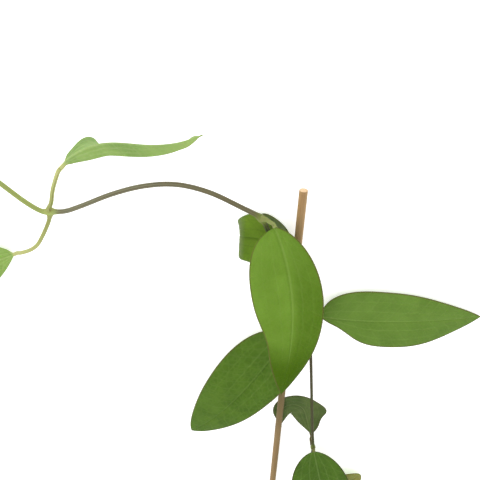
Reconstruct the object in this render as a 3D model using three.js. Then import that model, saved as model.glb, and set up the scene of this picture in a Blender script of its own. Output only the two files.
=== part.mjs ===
// A young clematis shoot with the thin cane that it climbs, cut and laid on its back.
// Millimetres, +Z up, origin at the middle of the underside of its box.
//
// One vine stem runs beside the cane, crosses it and arches away from it. At each swollen node
// it carries an opposite pair of simple leaves. One leaf stalk is wound once round the cane.
// Leaves are thin closed blades with a rib under the middle and a round stalk at the base.

import * as THREE from 'three';

// ---------------------------------------------------------------- driving dimensions

const CANE_DIAMETER = 4.0;
const CANE_LINE_X = 27.9;
const CANE_TOP_Y = 31;
const CANE_FOOT_Y = -215;
const CANE_RISE = 0.0125; // height gained for each millimetre of length, from the foot up
const CANE_SIDES = 20;

const STEM_RADIUS = 1.15; // from the crown on
const FOOT_RADIUS = 0.85; // below the middle node
const STEM_SIDES = 8;
const STEM_STEP = 5;
const NODE_SWELL = 0.75;
const NODE_REACH = 2.2;
const BUD_LENGTH = 9;
const BUD_SWELL = 0.6;
const SEAT_GAP = 0.3;

const STALK_RADIUS = 0.65;
const THICK_STALK_RADIUS = 0.95;
const YOUNG_STALK_RADIUS = 0.5;
const STALK_STEP = 1.9;
const TIP_RADIUS = 0.3;
const BLADE_THICKNESS = 0.6;
const BLADE_STEPS = 16;
const SECTION_STEPS = 24;
const BLADE_COLUMNS = [-1, -0.6, -0.2, 0, 0.2, 0.6, 1];
const ROLLED_COLUMNS = [-1, -0.6, -0.2, 0, 0.2, 0.5, 0.68, 0.78, 0.86, 0.93, 1];
const PATH_SAMPLES = 240;

const DEGREE = Math.PI / 180;

// ---------------------------------------------------------------- finishes

const leafGreen = () => new THREE.MeshStandardMaterial({ color: 0x5a8428, roughness: 0.55, metalness: 0 });
const shadedGreen = () => new THREE.MeshStandardMaterial({ color: 0x4f6a30, roughness: 0.6, metalness: 0 });
const youngGreen = () => new THREE.MeshStandardMaterial({ color: 0x96b868, roughness: 0.5, metalness: 0 });
const stemOlive = () => new THREE.MeshStandardMaterial({ color: 0x76775c, roughness: 0.6, metalness: 0 });
const caneTan = () => new THREE.MeshStandardMaterial({ color: 0xa8865c, roughness: 0.75, metalness: 0 });

// ---------------------------------------------------------------- the stem's route

// Nodes are where the leaf pairs stand, named from the foot of the stem to its growing end.
const NODES = {
  low: new THREE.Vector3(50.3, -148.9, 8),
  middle: new THREE.Vector3(33.7, -37.9, 8.6),
  crown: new THREE.Vector3(8.9, 20.3, 13),
  outer: new THREE.Vector3(-87.9, 17.6, 7),
  end: new THREE.Vector3(-127, 46.5, 5),
};

const STEM_ROUTE = [
  new THREE.Vector3(49.2, -184, 5),
  new THREE.Vector3(50, -172, 6),
  new THREE.Vector3(50.5, -160, 7),
  NODES.low,
  new THREE.Vector3(48.6, -135, 8.1),
  new THREE.Vector3(47.1, -123, 8.1),
  new THREE.Vector3(44.8, -103, 8.1),
  new THREE.Vector3(42.5, -83, 8.2),
  new THREE.Vector3(40.4, -66.4, 8.3),
  new THREE.Vector3(37.2, -51, 8.5),
  NODES.middle,
  new THREE.Vector3(31, -22, 8.8),
  new THREE.Vector3(26.5, -6, 9.1),
  new THREE.Vector3(19, 4, 10.1),
  new THREE.Vector3(13.5, 11.2, 11.5),
  NODES.crown,
  new THREE.Vector3(-0.5, 25.6, 12.4),
  new THREE.Vector3(-14.8, 32, 11.2),
  new THREE.Vector3(-28.9, 34.8, 10.2),
  new THREE.Vector3(-43.1, 33.3, 9.4),
  new THREE.Vector3(-57.8, 28.5, 8.6),
  new THREE.Vector3(-73.2, 21.3, 7.8),
  new THREE.Vector3(-81, 18.2, 7.4),
  NODES.outer,
  new THREE.Vector3(-92.2, 17.8, 6.8),
  new THREE.Vector3(-98.8, 22.3, 6.5),
  new THREE.Vector3(-108, 30.8, 6),
  new THREE.Vector3(-118, 40, 5.5),
  NODES.end,
  new THREE.Vector3(-131.5, 50.2, 5.2),
];

// Height of the cane's underside: its foot touches the surface and its head is held a little up.
const caneUnderside = (y) => CANE_RISE * (y - CANE_FOOT_Y);

// One turn of a leaf stalk round the cane, clear of it by the seat gap.
const TWINE = { fromY: -41, toY: -47, turns: 1, startAngle: 80, points: 9 };

function twinePoints() {
  const radius = CANE_DIAMETER / 2 + SEAT_GAP + STALK_RADIUS;
  const points = [];
  for (let i = 0; i < TWINE.points; i += 1) {
    const t = i / (TWINE.points - 1);
    const y = TWINE.fromY + (TWINE.toY - TWINE.fromY) * t;
    const angle = (TWINE.startAngle + 360 * TWINE.turns * t) * DEGREE;
    const middleZ = caneUnderside(y) + CANE_DIAMETER / 2;
    points.push([CANE_LINE_X + radius * Math.cos(angle), y, middleZ + radius * Math.sin(angle)]);
  }
  return points;
}

// ---------------------------------------------------------------- the leaves

// base      where the blade begins, with its stalk's points before it, from the node outwards
// length    along the midrib, and half widths [left, right] at the widest place
// shape     how fast each side opens at the base [left, right], and how fast both close at the tip
// heading   compass angle of the midrib in degrees: at the base, then its change along the leaf
// pitch     slope of the midrib in degrees: at the base, then its change along the leaf
// turn, arch   one bend [angle, middle, half length] sideways or upwards, in parts of the length
// roll      twist about the midrib in degrees
// fold      how far each half is raised at the midrib, [base, tip], reached by foldBy
// curl      further raise between midrib and margin, [base, tip], and sides it acts on. curlPower is
//           1 for an even curl and more for one that is close to the margin
// lobe      one bulge, or below 0 one hollow, of the right margin: [share of the width, middle, reach]
// steps, columns   closer sections for a blade that bends or rolls tightly
const LEAVES = [
  {
    name: 'leaf_a_front', finish: leafGreen, stalk: THICK_STALK_RADIUS,
    stalkPath: [[10.2, 21.9, 14.9], [12.3, 22.0, 15.9], [14.0, 20.7, 16.5]],
    base: [15.1, 17.9, 16.7], length: 96.3, halfWidths: [14.7, 18.6], shape: [0.85, 0.44, 1.06],
    heading: [-61, -77, 45], pitch: [32, -44], roll: [0], fold: [10, 6], curl: [-16, -30],
    lobe: [-0.145, 0.62, 0.14],
  },
  {
    name: 'leaf_a_back', finish: leafGreen,
    stalkPath: [[10.2, 18, 9.85], [13.6, 10.4, 8.6], [18.4, 3.6, 7.4], [22.6, 0.6, 6.6]],
    base: [19.7, 1.0, 6.0], length: 50, halfWidths: [13.8, 16.3], shape: [0.3, 0.55, 1.0],
    heading: [160, 0, 0, 0, 0, 0, -80], turn: [22, 0.24, 0.2], pitch: [-3], arch: [-178, 0.43, 0.075],
    roll: [0], fold: [2, 4], foldBy: 0.6, curl: [215, -10], curlSides: [0.05, 1], curlPower: 5.5,
    lobe: [-0.88, 0.5, 0.1], steps: 32, columns: ROLLED_COLUMNS,
  },
  {
    name: 'leaf_b_right', finish: leafGreen,
    stalkPath: [[36.5, -38.8, 8.1], [38.6, -40.4, 7.2]],
    base: [43.8, -43.4, 5.6], length: 88, halfWidths: [17.5, 16], shape: [0.42, 0.8, 0.96],
    heading: [-2, 11, -13], pitch: [8, -22], roll: [14, -4], fold: [8, 6], curl: [-12, -18],
    lobe: [-0.4, 0.08, 0.12],
  },
  {
    name: 'leaf_b_left', finish: leafGreen,
    stalkPath: [[31.2, -38.7, 8.0], ...twinePoints(), [28.3, -50.2, 9.0]],
    base: [26.8, -53.2, 9.9], length: 102, halfWidths: [17, 21], shape: [0.3, 0.4, 0.7],
    heading: [240, 8, -17], pitch: [10, -26], roll: [-12, -2], fold: [8, 6], curl: [-12, -22],
  },
  {
    name: 'leaf_c_upper', finish: youngGreen, stalk: THICK_STALK_RADIUS,
    stalkPath: [[-87.4, 20.4, 7.9], [-85.7, 23.8, 9], [-83.6, 30.4, 10.6], [-80.9, 36.6, 12.5],
      [-79.1, 40.3, 13.7]],
    base: [-76.8, 43.5, 14.7], length: 64.5, halfWidths: [6.8, 8.5], shape: [1.0, 0.9, 1.08],
    heading: [46, -10, 55], turn: [-62, 0.3, 0.3], pitch: [2, -2], roll: [233], lobe: [1.2, 0.205, 0.055],
    fold: [-8, 70], foldBy: 0.38, curl: [0, 0],
  },
  {
    name: 'leaf_c_lower', finish: youngGreen, stalk: THICK_STALK_RADIUS,
    stalkPath: [[-88.5, 15.0, 6.7], [-89.6, 11.9, 6.4], [-92, 7.1, 5.8], [-94.7, 2.3, 5.2],
      [-98.1, -2.8, 4.7], [-102.2, -6.0, 4.4], [-106.9, -7.9, 4.1]],
    base: [-110.4, -9.0, 3.8], length: 60, halfWidths: [13, 14], shape: [1.0, 0.65, 0.9],
    heading: [202, 8], pitch: [6, -18], roll: [0], fold: [10, 8], curl: [-12, -20],
  },
  {
    name: 'leaf_d_front', finish: leafGreen,
    stalkPath: [[50.4, -148.2, 10.7]],
    base: [50.1, -147.0, 12.7], length: 76, halfWidths: [18, 19], shape: [0.59, 0.56, 0.9],
    heading: [-75], pitch: [26, -40], roll: [0], fold: [8, 6], curl: [-12, -22],
  },
  {
    name: 'leaf_d_back', finish: shadedGreen, flatUnderside: true,
    stalkPath: [[49.7, -149.2, 5.6], [49.4, -149.1, 3.6], [49.3, -148.4, 2.0]],
    base: [49.3, -145.8, 0.97], length: 55, halfWidths: [9, 9.4], shape: [1.2, 0.78, 1.15],
    heading: [105], turn: [170, 0.6, 0.27], pitch: [-10], arch: [10, 0.07, 0.07], roll: [0],
    fold: [0, 0], foldBy: 0.5, curl: [40, 0], curlSides: [0, 1], lobe: [0.42, 0.362, 0.075],
  },
  {
    name: 'side_leaf', finish: youngGreen, stalk: YOUNG_STALK_RADIUS,
    stalkPath: [[51.2, -151.9, 6.0], [54, -162, 5.6], [60, -185, 4.8], [65, -202, 4]],
    base: [70, -204, 3.6], length: 26.5, halfWidths: [9, 9], shape: [0.5, 0.5, 0.6],
    heading: [62, -20], pitch: [2, -4], roll: [0], fold: [8, 6], curl: [-10, -10],
  },
  {
    name: 'tip_leaf_left', finish: youngGreen, stalk: YOUNG_STALK_RADIUS,
    stalkPath: [[-129.3, 45.2, 4.8]],
    base: [-132, 44, 4.4], length: 38, halfWidths: [8, 8], shape: [0.6, 0.6, 1.0],
    heading: [200, 10], pitch: [4, -18], roll: [0], fold: [20, 14], curl: [-12, -14],
  },
  {
    name: 'tip_leaf_right', finish: youngGreen, stalk: YOUNG_STALK_RADIUS,
    stalkPath: [[-125.8, 49.1, 5]],
    base: [-125, 52.0, 5], length: 34, halfWidths: [7, 7], shape: [0.6, 0.6, 1.0],
    heading: [86, 14], pitch: [10, -24], roll: [0], fold: [24, 16], curl: [-12, -14],
  },
];

// ---------------------------------------------------------------- shape helpers

function smooth(x) {
  const t = Math.min(Math.max(x, 0), 1);
  return t * t * (3 - 2 * t);
}

const series = (terms, s) => terms.reduce((sum, term, power) => sum + term * s ** power, 0);

const bendAt = (bend, s) => (bend ? bend[0] * smooth((s - bend[1] + bend[2]) / (2 * bend[2])) : 0);

// Half width along a leaf, from 0 at the base to 1 at the widest place and 0 at the tip.
function outline(s, opening, closing) {
  const widest = opening / (opening + closing);
  return (s ** opening * (1 - s) ** closing) / (widest ** opening * (1 - widest) ** closing);
}

const frameAt = (leaf, s) => {
  const heading = (series(leaf.heading, s) + bendAt(leaf.turn, s)) * DEGREE;
  const pitch = (series(leaf.pitch, s) + bendAt(leaf.arch, s)) * DEGREE;
  const roll = series(leaf.roll, s) * DEGREE;
  const along = new THREE.Vector3(
    Math.cos(pitch) * Math.cos(heading), Math.cos(pitch) * Math.sin(heading), Math.sin(pitch));
  const side = new THREE.Vector3(Math.sin(heading), -Math.cos(heading), 0);
  const up = new THREE.Vector3().crossVectors(side, along);
  const across = side.clone().multiplyScalar(Math.cos(roll)).addScaledVector(up, Math.sin(roll));
  const normal = up.multiplyScalar(Math.cos(roll)).addScaledVector(side, -Math.sin(roll));
  return { along, across, normal };
};

// Points and frames on the midrib at the wanted stations, added up in short steps.
function midrib(leaf, stations) {
  const frames = [];
  const point = new THREE.Vector3(...leaf.base);
  let done = 0;
  for (const station of stations) {
    const target = Math.round(station * PATH_SAMPLES);
    for (; done < target; done += 1) {
      const { along } = frameAt(leaf, (done + 0.5) / PATH_SAMPLES);
      point.addScaledVector(along, leaf.length / PATH_SAMPLES);
    }
    frames.push({ s: station, point: point.clone(), ...frameAt(leaf, station) });
  }
  return frames;
}

// Carries a frame backwards along the stalk without twisting it.
function stalkFrames(points, tangents, last) {
  const frames = [];
  let { across } = last;
  for (let i = points.length - 1; i >= 0; i -= 1) {
    const along = tangents[i];
    across = across.clone().addScaledVector(along, -across.dot(along)).normalize();
    const normal = new THREE.Vector3().crossVectors(across, along).normalize();
    frames.unshift({ s: 0, point: points[i], along, across, normal });
  }
  return frames;
}

function stalkCurve(leaf, start) {
  const base = new THREE.Vector3(...leaf.base);
  const lead = base.clone().addScaledVector(start.along, -1.6);
  const points = [...leaf.stalkPath.map((p) => new THREE.Vector3(...p)), lead, base];
  return new THREE.CatmullRomCurve3(points, false, 'catmullrom', 0.5);
}

// ---------------------------------------------------------------- closed lofts

// Joins rings of equal length into one closed body with a fan on each end.
function loft(rings) {
  const size = rings[0].length;
  const vertices = rings.flat();
  const middle = (ring) => ring.reduce((sum, p) => sum.add(p), new THREE.Vector3()).divideScalar(size);
  const first = vertices.push(middle(rings[0])) - 1;
  const last = vertices.push(middle(rings.at(-1))) - 1;
  const faces = [];
  for (let i = 0; i < rings.length - 1; i += 1) {
    for (let j = 0; j < size; j += 1) {
      const a = i * size + j;
      const b = i * size + ((j + 1) % size);
      // The two faces of a blade are split along the same diagonal, so that they never cross.
      if (j < size / 2) {
        faces.push(a, b, a + size, b, b + size, a + size);
      } else {
        faces.push(a, b, b + size, a, b + size, a + size);
      }
    }
  }
  const end = (rings.length - 1) * size;
  for (let j = 0; j < size; j += 1) {
    const k = (j + 1) % size;
    faces.push(first, k, j);
    faces.push(last, end + j, end + k);
  }
  return facingOut(vertices, faces);
}

function facingOut(vertices, faces) {
  let volume = 0;
  for (let i = 0; i < faces.length; i += 3) {
    const [a, b, c] = [vertices[faces[i]], vertices[faces[i + 1]], vertices[faces[i + 2]]];
    volume += a.dot(new THREE.Vector3().crossVectors(b, c));
  }
  const geometry = new THREE.BufferGeometry();
  geometry.setFromPoints(vertices);
  geometry.setIndex(volume > 0 ? faces : faces.slice().reverse());
  geometry.computeVertexNormals();
  return geometry;
}

// ---------------------------------------------------------------- leaf sections

// Where a column lies across the blade, and the way its face looks, in the section's plane.
function sectionPoint(leaf, s, column, radius) {
  const right = column < 0 ? 0 : 1;
  const side = leaf.curlSides ? leaf.curlSides[right] : 1;
  const blend = smooth(s / (leaf.foldBy ?? 1));
  const even = leaf.halfWidths[right] * outline(s, leaf.shape[right], leaf.shape[2]);
  const [share, middle, reach] = (right && leaf.lobe) || [0, 0, 1];
  const bulge = 1 + share * Math.exp(-(((s - middle) / reach) ** 2));
  const width = Math.max(even * bulge, radius);
  const settle = smooth((width - TIP_RADIUS) / 3.5);
  const fold = (leaf.fold[0] + (leaf.fold[1] - leaf.fold[0]) * blend) * settle * DEGREE;
  const curl = (leaf.curl[0] + (leaf.curl[1] - leaf.curl[0]) * blend) * side * DEGREE;
  const power = leaf.curlPower ?? 1;
  const v = Math.abs(column);
  const angle = fold + curl * v ** power;
  const step = (width * v) / SECTION_STEPS;
  let x = 0;
  let z = 0;
  for (let i = 0; i < SECTION_STEPS; i += 1) {
    const slope = fold + curl * ((v * (i + 0.5)) / SECTION_STEPS) ** power;
    x += step * Math.cos(slope);
    z += step * Math.sin(slope);
  }
  const sign = column < 0 ? -1 : 1;
  const lean = column === 0 ? 0 : Math.sin(angle);
  return { x: sign * x, z, nx: -sign * lean, nz: column === 0 ? 1 : Math.cos(angle), width };
}

// One ring round the leaf: the upper face from left to right, then the lower face back again.
function leafRing(leaf, frame) {
  const stalk = leaf.stalk ?? STALK_RADIUS;
  const radius = stalk + (TIP_RADIUS - stalk) * frame.s;
  const widths = [-1, 1].map((column) => sectionPoint(leaf, frame.s, column, radius).width);
  const bladeShare = smooth((Math.max(...widths) - radius) / (3 * radius));
  const half = BLADE_THICKNESS / 2;
  const ring = [];
  const place = (x, z) => ring.push(frame.point.clone()
    .addScaledVector(frame.across, x)
    .addScaledVector(frame.normal, z));
  const put = (column, face) => {
    const at = sectionPoint(leaf, frame.s, column, radius);
    const ribbed = column === 0 && face < 0 && !leaf.flatUnderside;
    const depth = ribbed ? Math.max(radius, half) : half;
    const roundX = radius * Math.sin(column * 80 * DEGREE);
    const roundZ = face * radius * Math.cos(column * 80 * DEGREE);
    const bladeX = at.x + face * depth * at.nx;
    const bladeZ = at.z + face * depth * at.nz;
    place(roundX + (bladeX - roundX) * bladeShare, roundZ + (bladeZ - roundZ) * bladeShare);
  };
  const columns = leaf.columns ?? BLADE_COLUMNS;
  columns.forEach((column) => put(column, 1));
  [...columns].reverse().forEach((column) => put(column, -1));
  return ring;
}

function leafGeometry(leaf) {
  const stations = [];
  const steps = leaf.steps ?? BLADE_STEPS;
  for (let i = 0; i <= steps; i += 1) {
    stations.push(0.5 - 0.5 * Math.cos((Math.PI * i) / steps));
  }
  const blade = midrib(leaf, stations);
  const curve = stalkCurve(leaf, blade[0]);
  const count = Math.max(2, Math.ceil(curve.getLength() / STALK_STEP));
  const points = [];
  const tangents = [];
  for (let i = 0; i < count; i += 1) {
    points.push(curve.getPoint(i / count));
    tangents.push(curve.getTangent(i / count));
  }
  const stalk = stalkFrames(points, tangents, blade[0]);
  return loft([...stalk, ...blade].map((frame) => leafRing(leaf, frame)));
}

// ---------------------------------------------------------------- stem and cane

function nearestShare(curve, target) {
  let best = 0;
  let nearest = Infinity;
  for (let i = 0; i <= 4000; i += 1) {
    const distance = curve.getPointAt(i / 4000).distanceTo(target);
    if (distance < nearest) {
      nearest = distance;
      best = i / 4000;
    }
  }
  return best;
}

// Stem radius: thicker above the crown than at the foot, swollen at each node, and closed to a point
// in the end bud.
function stemRadius(distance, length, nodeDistances) {
  const [, middle, crown] = nodeDistances;
  const plain = FOOT_RADIUS + (STEM_RADIUS - FOOT_RADIUS) * smooth((distance - middle) / (crown - middle));
  const swell = nodeDistances.reduce(
    (sum, node) => sum + NODE_SWELL * Math.exp(-(((distance - node) / NODE_REACH) ** 2)), 0);
  const left = length - distance;
  const bud = left < BUD_LENGTH ? BUD_SWELL * Math.sin((Math.PI * left) / BUD_LENGTH) : 0;
  const close = Math.min(1, 0.12 + 0.88 * Math.sqrt(Math.max(left, 0) / (BUD_LENGTH / 2)));
  return (plain + swell + bud) * close;
}

function stemGeometry() {
  const curve = new THREE.CatmullRomCurve3(STEM_ROUTE, false, 'catmullrom', 0.5);
  curve.arcLengthDivisions = 4000;
  const length = curve.getLength();
  const nodeDistances = Object.values(NODES).map((node) => nearestShare(curve, node) * length);
  const stops = new Set([0, length]);
  for (let d = STEM_STEP; d < length - BUD_LENGTH; d += STEM_STEP) {
    if (nodeDistances.every((node) => Math.abs(node - d) > 5)) stops.add(d);
  }
  nodeDistances.forEach((node) => {
    [-4.4, -2.6, -1.3, 0, 1.3, 2.6, 4.4].forEach((offset) => stops.add(node + offset));
  });
  const inOrder = [...stops].filter((d) => d >= 0 && d <= length).sort((a, b) => a - b);
  const stations = inOrder.filter((d, i) => i === 0 || d - inOrder[i - 1] > 0.5);
  const points = stations.map((d) => curve.getPointAt(d / length));
  const tangents = stations.map((d) => curve.getTangentAt(d / length));
  const start = { across: new THREE.Vector3(0, 0, 1) };
  const frames = stalkFrames(points, tangents, start);
  return loft(frames.map((frame, i) => {
    const radius = stemRadius(stations[i], length, nodeDistances);
    const ring = [];
    for (let k = 0; k < STEM_SIDES; k += 1) {
      const angle = (2 * Math.PI * k) / STEM_SIDES;
      ring.push(frame.point.clone()
        .addScaledVector(frame.across, radius * Math.cos(angle))
        .addScaledVector(frame.normal, radius * Math.sin(angle)));
    }
    return ring;
  }));
}

// A straight round cane cut square at both ends. It tilts by less than a degree.
function caneGeometry() {
  const radius = CANE_DIAMETER / 2;
  const foot = new THREE.Vector3(CANE_LINE_X, CANE_FOOT_Y, radius);
  const head = new THREE.Vector3(CANE_LINE_X, CANE_TOP_Y, caneUnderside(CANE_TOP_Y) + radius);
  const along = head.clone().sub(foot).normalize();
  const across = new THREE.Vector3(1, 0, 0);
  const normal = new THREE.Vector3().crossVectors(across, along);
  return loft([foot, head].map((centre) => {
    const ring = [];
    for (let k = 0; k < CANE_SIDES; k += 1) {
      const angle = (2 * Math.PI * (k + 0.5)) / CANE_SIDES;
      ring.push(centre.clone()
        .addScaledVector(across, radius * Math.cos(angle))
        .addScaledVector(normal, radius * Math.sin(angle)));
    }
    return ring;
  }));
}

// ---------------------------------------------------------------- the assembled shoot

function addPart(parent, name, geometry, material) {
  const mesh = new THREE.Mesh(geometry, material);
  mesh.name = name;
  parent.add(mesh);
}

const shoot = new THREE.Group();
addPart(shoot, 'cane', caneGeometry(), caneTan());
addPart(shoot, 'vine_stem', stemGeometry(), stemOlive());
LEAVES.forEach((leaf) => addPart(shoot, leaf.name, leafGeometry(leaf), leaf.finish()));

const box = new THREE.Box3().setFromObject(shoot);
shoot.position.set(-(box.min.x + box.max.x) / 2, -(box.min.y + box.max.y) / 2, -box.min.z);

const group = new THREE.Group();
group.add(shoot);

export default group;
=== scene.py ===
"""A young clematis shoot and the thin cane that it climbs, laid on their back.

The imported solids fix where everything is. Each piece here stands for one of them and adds what
the solids leave plain: thin blades with veins and a brown margin, grooved leaf stalks, a ribbed
stem with swollen nodes and a bud at its end, and a split cane with its fibres. The plant is
described in millimetres, in the frame that its cane gives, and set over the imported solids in
metres.
"""

import logging
import math
from dataclasses import dataclass, field, replace
from enum import Enum
from typing import Sequence

import bpy
import numpy as np
from mathutils import Matrix, Vector


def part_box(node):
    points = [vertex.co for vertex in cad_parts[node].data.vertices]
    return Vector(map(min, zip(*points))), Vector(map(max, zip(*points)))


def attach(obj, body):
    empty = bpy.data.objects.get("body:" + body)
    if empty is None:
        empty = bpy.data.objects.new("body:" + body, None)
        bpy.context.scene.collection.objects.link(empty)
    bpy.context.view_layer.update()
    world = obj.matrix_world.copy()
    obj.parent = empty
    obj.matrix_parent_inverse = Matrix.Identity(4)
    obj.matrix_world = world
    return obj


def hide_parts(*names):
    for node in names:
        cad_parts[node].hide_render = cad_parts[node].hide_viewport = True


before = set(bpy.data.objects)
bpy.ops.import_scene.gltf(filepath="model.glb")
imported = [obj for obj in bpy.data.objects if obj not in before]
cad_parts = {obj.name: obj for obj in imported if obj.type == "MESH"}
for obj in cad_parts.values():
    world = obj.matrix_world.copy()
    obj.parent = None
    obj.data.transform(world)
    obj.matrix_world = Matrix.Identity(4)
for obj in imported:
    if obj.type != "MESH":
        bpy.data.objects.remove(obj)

LOG = logging.getLogger("shoot")

Array = np.ndarray
Values = dict[str, Array]
Pair = tuple[float, float]
Point = tuple[float, float, float]
Run = tuple[float, float, float, float]
Colour = tuple[int, int, int]
Corners = list[tuple[int, ...]]
Object = bpy.types.Object
Material = bpy.types.Material
Tree = bpy.types.NodeTree
Node = bpy.types.Node
Socket = bpy.types.NodeSocket
Feed = float | tuple | Socket
Sockets = dict[str, Socket]

MM = 0.001
TINY = 1e-9
TURN = 2 * math.pi
WHITE = (1.0, 1.0, 1.0, 1.0)
BODY = "root"
SIZE_DIGITS = 6
SEED = 11

CANE_DIAMETER = 4.0
CANE_LINE_X = 27.9
CANE_TOP_Y = 31.0
CANE_FOOT_Y = -215.0
CANE_RISE = 0.0125

SEAT_GAP = 0.3
STALK_RADIUS = 0.65
YOUNG_STALK_RADIUS = 0.5
STOUT_STALK_RADIUS = 0.95
LEAST_HEIGHT = 0.03

NODES: dict[str, Point] = {
    "low": (50.3, -148.9, 8.0),
    "middle": (33.7, -37.9, 8.6),
    "crown": (8.9, 20.3, 13.0),
    "outer": (-87.9, 17.6, 7.0),
    "end": (-127.0, 46.5, 5.0),
}

STEM_ROUTE: list[Point] = [
    (49.2, -184, 5), (50, -172, 6), (50.5, -160, 7),
    NODES["low"],
    (48.6, -135, 8.1), (47.1, -123, 8.1), (44.8, -103, 8.1), (42.5, -83, 8.2),
    (40.4, -66.4, 8.3), (37.2, -51, 8.5),
    NODES["middle"],
    (31, -22, 8.8), (26.5, -6, 9.1), (19, 4, 10.1), (13.5, 11.2, 11.5),
    NODES["crown"],
    (-0.5, 25.6, 12.4), (-14.8, 32, 11.2), (-28.9, 34.8, 10.2), (-43.1, 33.3, 9.4),
    (-57.8, 28.5, 8.6), (-73.2, 21.3, 7.8), (-81, 18.2, 7.4),
    NODES["outer"],
    (-92.2, 17.8, 6.8), (-98.8, 22.3, 6.5), (-108, 30.8, 6), (-118, 40, 5.5),
    NODES["end"],
    (-131.5, 50.2, 5.2),
]


class Slot(Enum):
    """The record's material slots."""

    LEAF = "leaf"
    YOUNG_LEAF = "young_leaf"
    SHADED_LEAF = "shaded_leaf"
    STEM = "stem"
    CANE = "cane"


class Face(Enum):
    """The two faces of a blade, by the number of their material."""

    UPPER = 0
    LOWER = 1


# ---------------------------------------------------------------- shape helpers


def smooth(x: Array | float) -> Array:
    """Eases from 0 to 1 as x goes from 0 to 1, and holds it at the ends."""
    t = np.clip(x, 0.0, 1.0)
    return t * t * (3 - 2 * t)


def hump(x: Array, reach: float) -> Array:
    """Returns a soft hump, 1 where x is 0 and all but gone two reaches away."""
    return np.exp(-((x / reach) ** 2))


def between(ends: Pair, share: Array) -> Array:
    """Returns the values that lie at these shares of the way from one end to the other."""
    return ends[0] + (ends[1] - ends[0]) * share


def series(terms: Sequence[float], s: Array) -> Array:
    """Returns a power series at s, given its constant and the factor of each higher power."""
    return sum(term * s**power for power, term in enumerate(terms)) + 0 * s


def unit(vectors: Array) -> Array:
    """Returns the vectors at length 1."""
    return vectors / np.maximum(np.linalg.norm(vectors, axis=-1, keepdims=True), TINY)


def wrapped(upper: Array, lower: Array) -> Array:
    """Runs over the upper face from left to right, and back under the lower one."""
    return np.concatenate([upper, lower[:, ::-1]], axis=1)


def tube(middle: Array, across: Array, up: Array, radius: Array, turn: Array) -> Array:
    """Returns rings of points round a line, from its two directions and the angles round it."""
    out = across[:, None] * (radius * np.cos(turn))[..., None]
    return middle[:, None] + out + up[:, None] * (radius * np.sin(turn))[..., None]


def carry_across(tangents: Array, across: Array) -> Array:
    """Carries a sideways direction along a curve without twisting it.

    Args:
        tangents: The directions of the curve.
        across: The sideways direction at its first point.

    Returns:
        The sideways direction at each point.
    """
    carried = np.empty_like(tangents)
    for i, along in enumerate(tangents):
        across = unit(across - along * np.dot(across, along))
        carried[i] = across
    return carried


@dataclass
class Spline:
    """A smooth curve through points, read by the distance along it."""

    points: Sequence[Point]
    samples: int = 3000
    reach: float = 0.3
    path: Array = field(init=False)
    distance: Array = field(init=False)

    def __post_init__(self) -> None:
        """Draws the curve once and measures it."""
        knots = np.asarray(self.points, float)
        padded = np.vstack([2 * knots[0] - knots[1], knots, 2 * knots[-1] - knots[-2]])
        place = np.linspace(0, len(knots) - 1, self.samples)
        part = np.minimum(place.astype(int), len(knots) - 2)
        t = (place - part)[:, None]
        before, first, second, after = (padded[part + k] for k in range(4))
        out, back = 0.5 * (second - before), 0.5 * (after - first)
        bend = 3 * (second - first) - 2 * out - back
        turn = 2 * (first - second) + out + back
        self.path = first + out * t + bend * t**2 + turn * t**3
        steps = np.linalg.norm(np.diff(self.path, axis=0), axis=1)
        self.distance = np.concatenate([[0.0], np.cumsum(steps)])

    @property
    def length(self) -> float:
        """The whole length."""
        return float(self.distance[-1])

    def at(self, distance: Array) -> Array:
        """Returns the points at these distances from the start."""
        return np.stack([np.interp(distance, self.distance, line) for line in self.path.T], -1)

    def tangents(self, distance: Array) -> Array:
        """Returns the directions of the curve at these distances."""
        near = np.clip(distance - self.reach, 0, self.length - 2 * self.reach)
        return unit(self.at(near + 2 * self.reach) - self.at(near))

    def nearest(self, point: Point) -> float:
        """Returns the distance along the curve of its point nearest to this one."""
        away = np.linalg.norm(self.path - np.asarray(point), axis=1)
        return float(self.distance[np.argmin(away)])


@dataclass(frozen=True)
class Twine:
    """One turn of a leaf stalk round the cane, from the node's side onwards."""

    from_y: float = -41.0
    to_y: float = -47.0
    start: float = 80.0
    count: int = 9

    def points(self) -> list[Point]:
        """Places the turn.

        Returns:
            Its points.
        """
        radius = CANE_DIAMETER / 2 + SEAT_GAP + STALK_RADIUS
        points = []
        for i in range(self.count):
            share = i / (self.count - 1)
            y = self.from_y + (self.to_y - self.from_y) * share
            angle = math.radians(self.start + 360 * share)
            middle = CANE_RISE * (y - CANE_FOOT_Y) + CANE_DIAMETER / 2
            x = CANE_LINE_X + radius * math.cos(angle)
            points.append((x, y, middle + radius * math.sin(angle)))
        return points


@dataclass(frozen=True)
class Bend:
    """One smooth turn, in degrees, round a place given in parts of the length."""

    angle: float
    middle: float
    reach: float

    def at(self, s: Array) -> Array:
        """Returns how far the turn has gone, in degrees."""
        return self.angle * smooth((s - self.middle + self.reach) / (2 * self.reach))


@dataclass(frozen=True)
class Lobe:
    """One bulge or notch of the right margin, in parts of the width and of the length."""

    share: float
    middle: float
    reach: float

    def at(self, s: Array) -> Array:
        """Returns what the half width is multiplied by."""
        return 1 + self.share * hump(s - self.middle, self.reach)


@dataclass(frozen=True)
class Wave:
    """The slow rise and fall of a blade's margin."""

    height: float = 0.5
    count: float = 2.6
    phase: float = 0.0
    right_phase: float = 0.37

    def at(self, s: Array, v: Array) -> Array:
        """Returns the lift in millimetres at s along and v across the blade."""
        turns = self.count * s + self.phase + self.right_phase * (v > 0)
        return self.height * np.sin(TURN * turns) * v**2 * np.sin(math.pi * s)


# ---------------------------------------------------------------- placing and skinning


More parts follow.
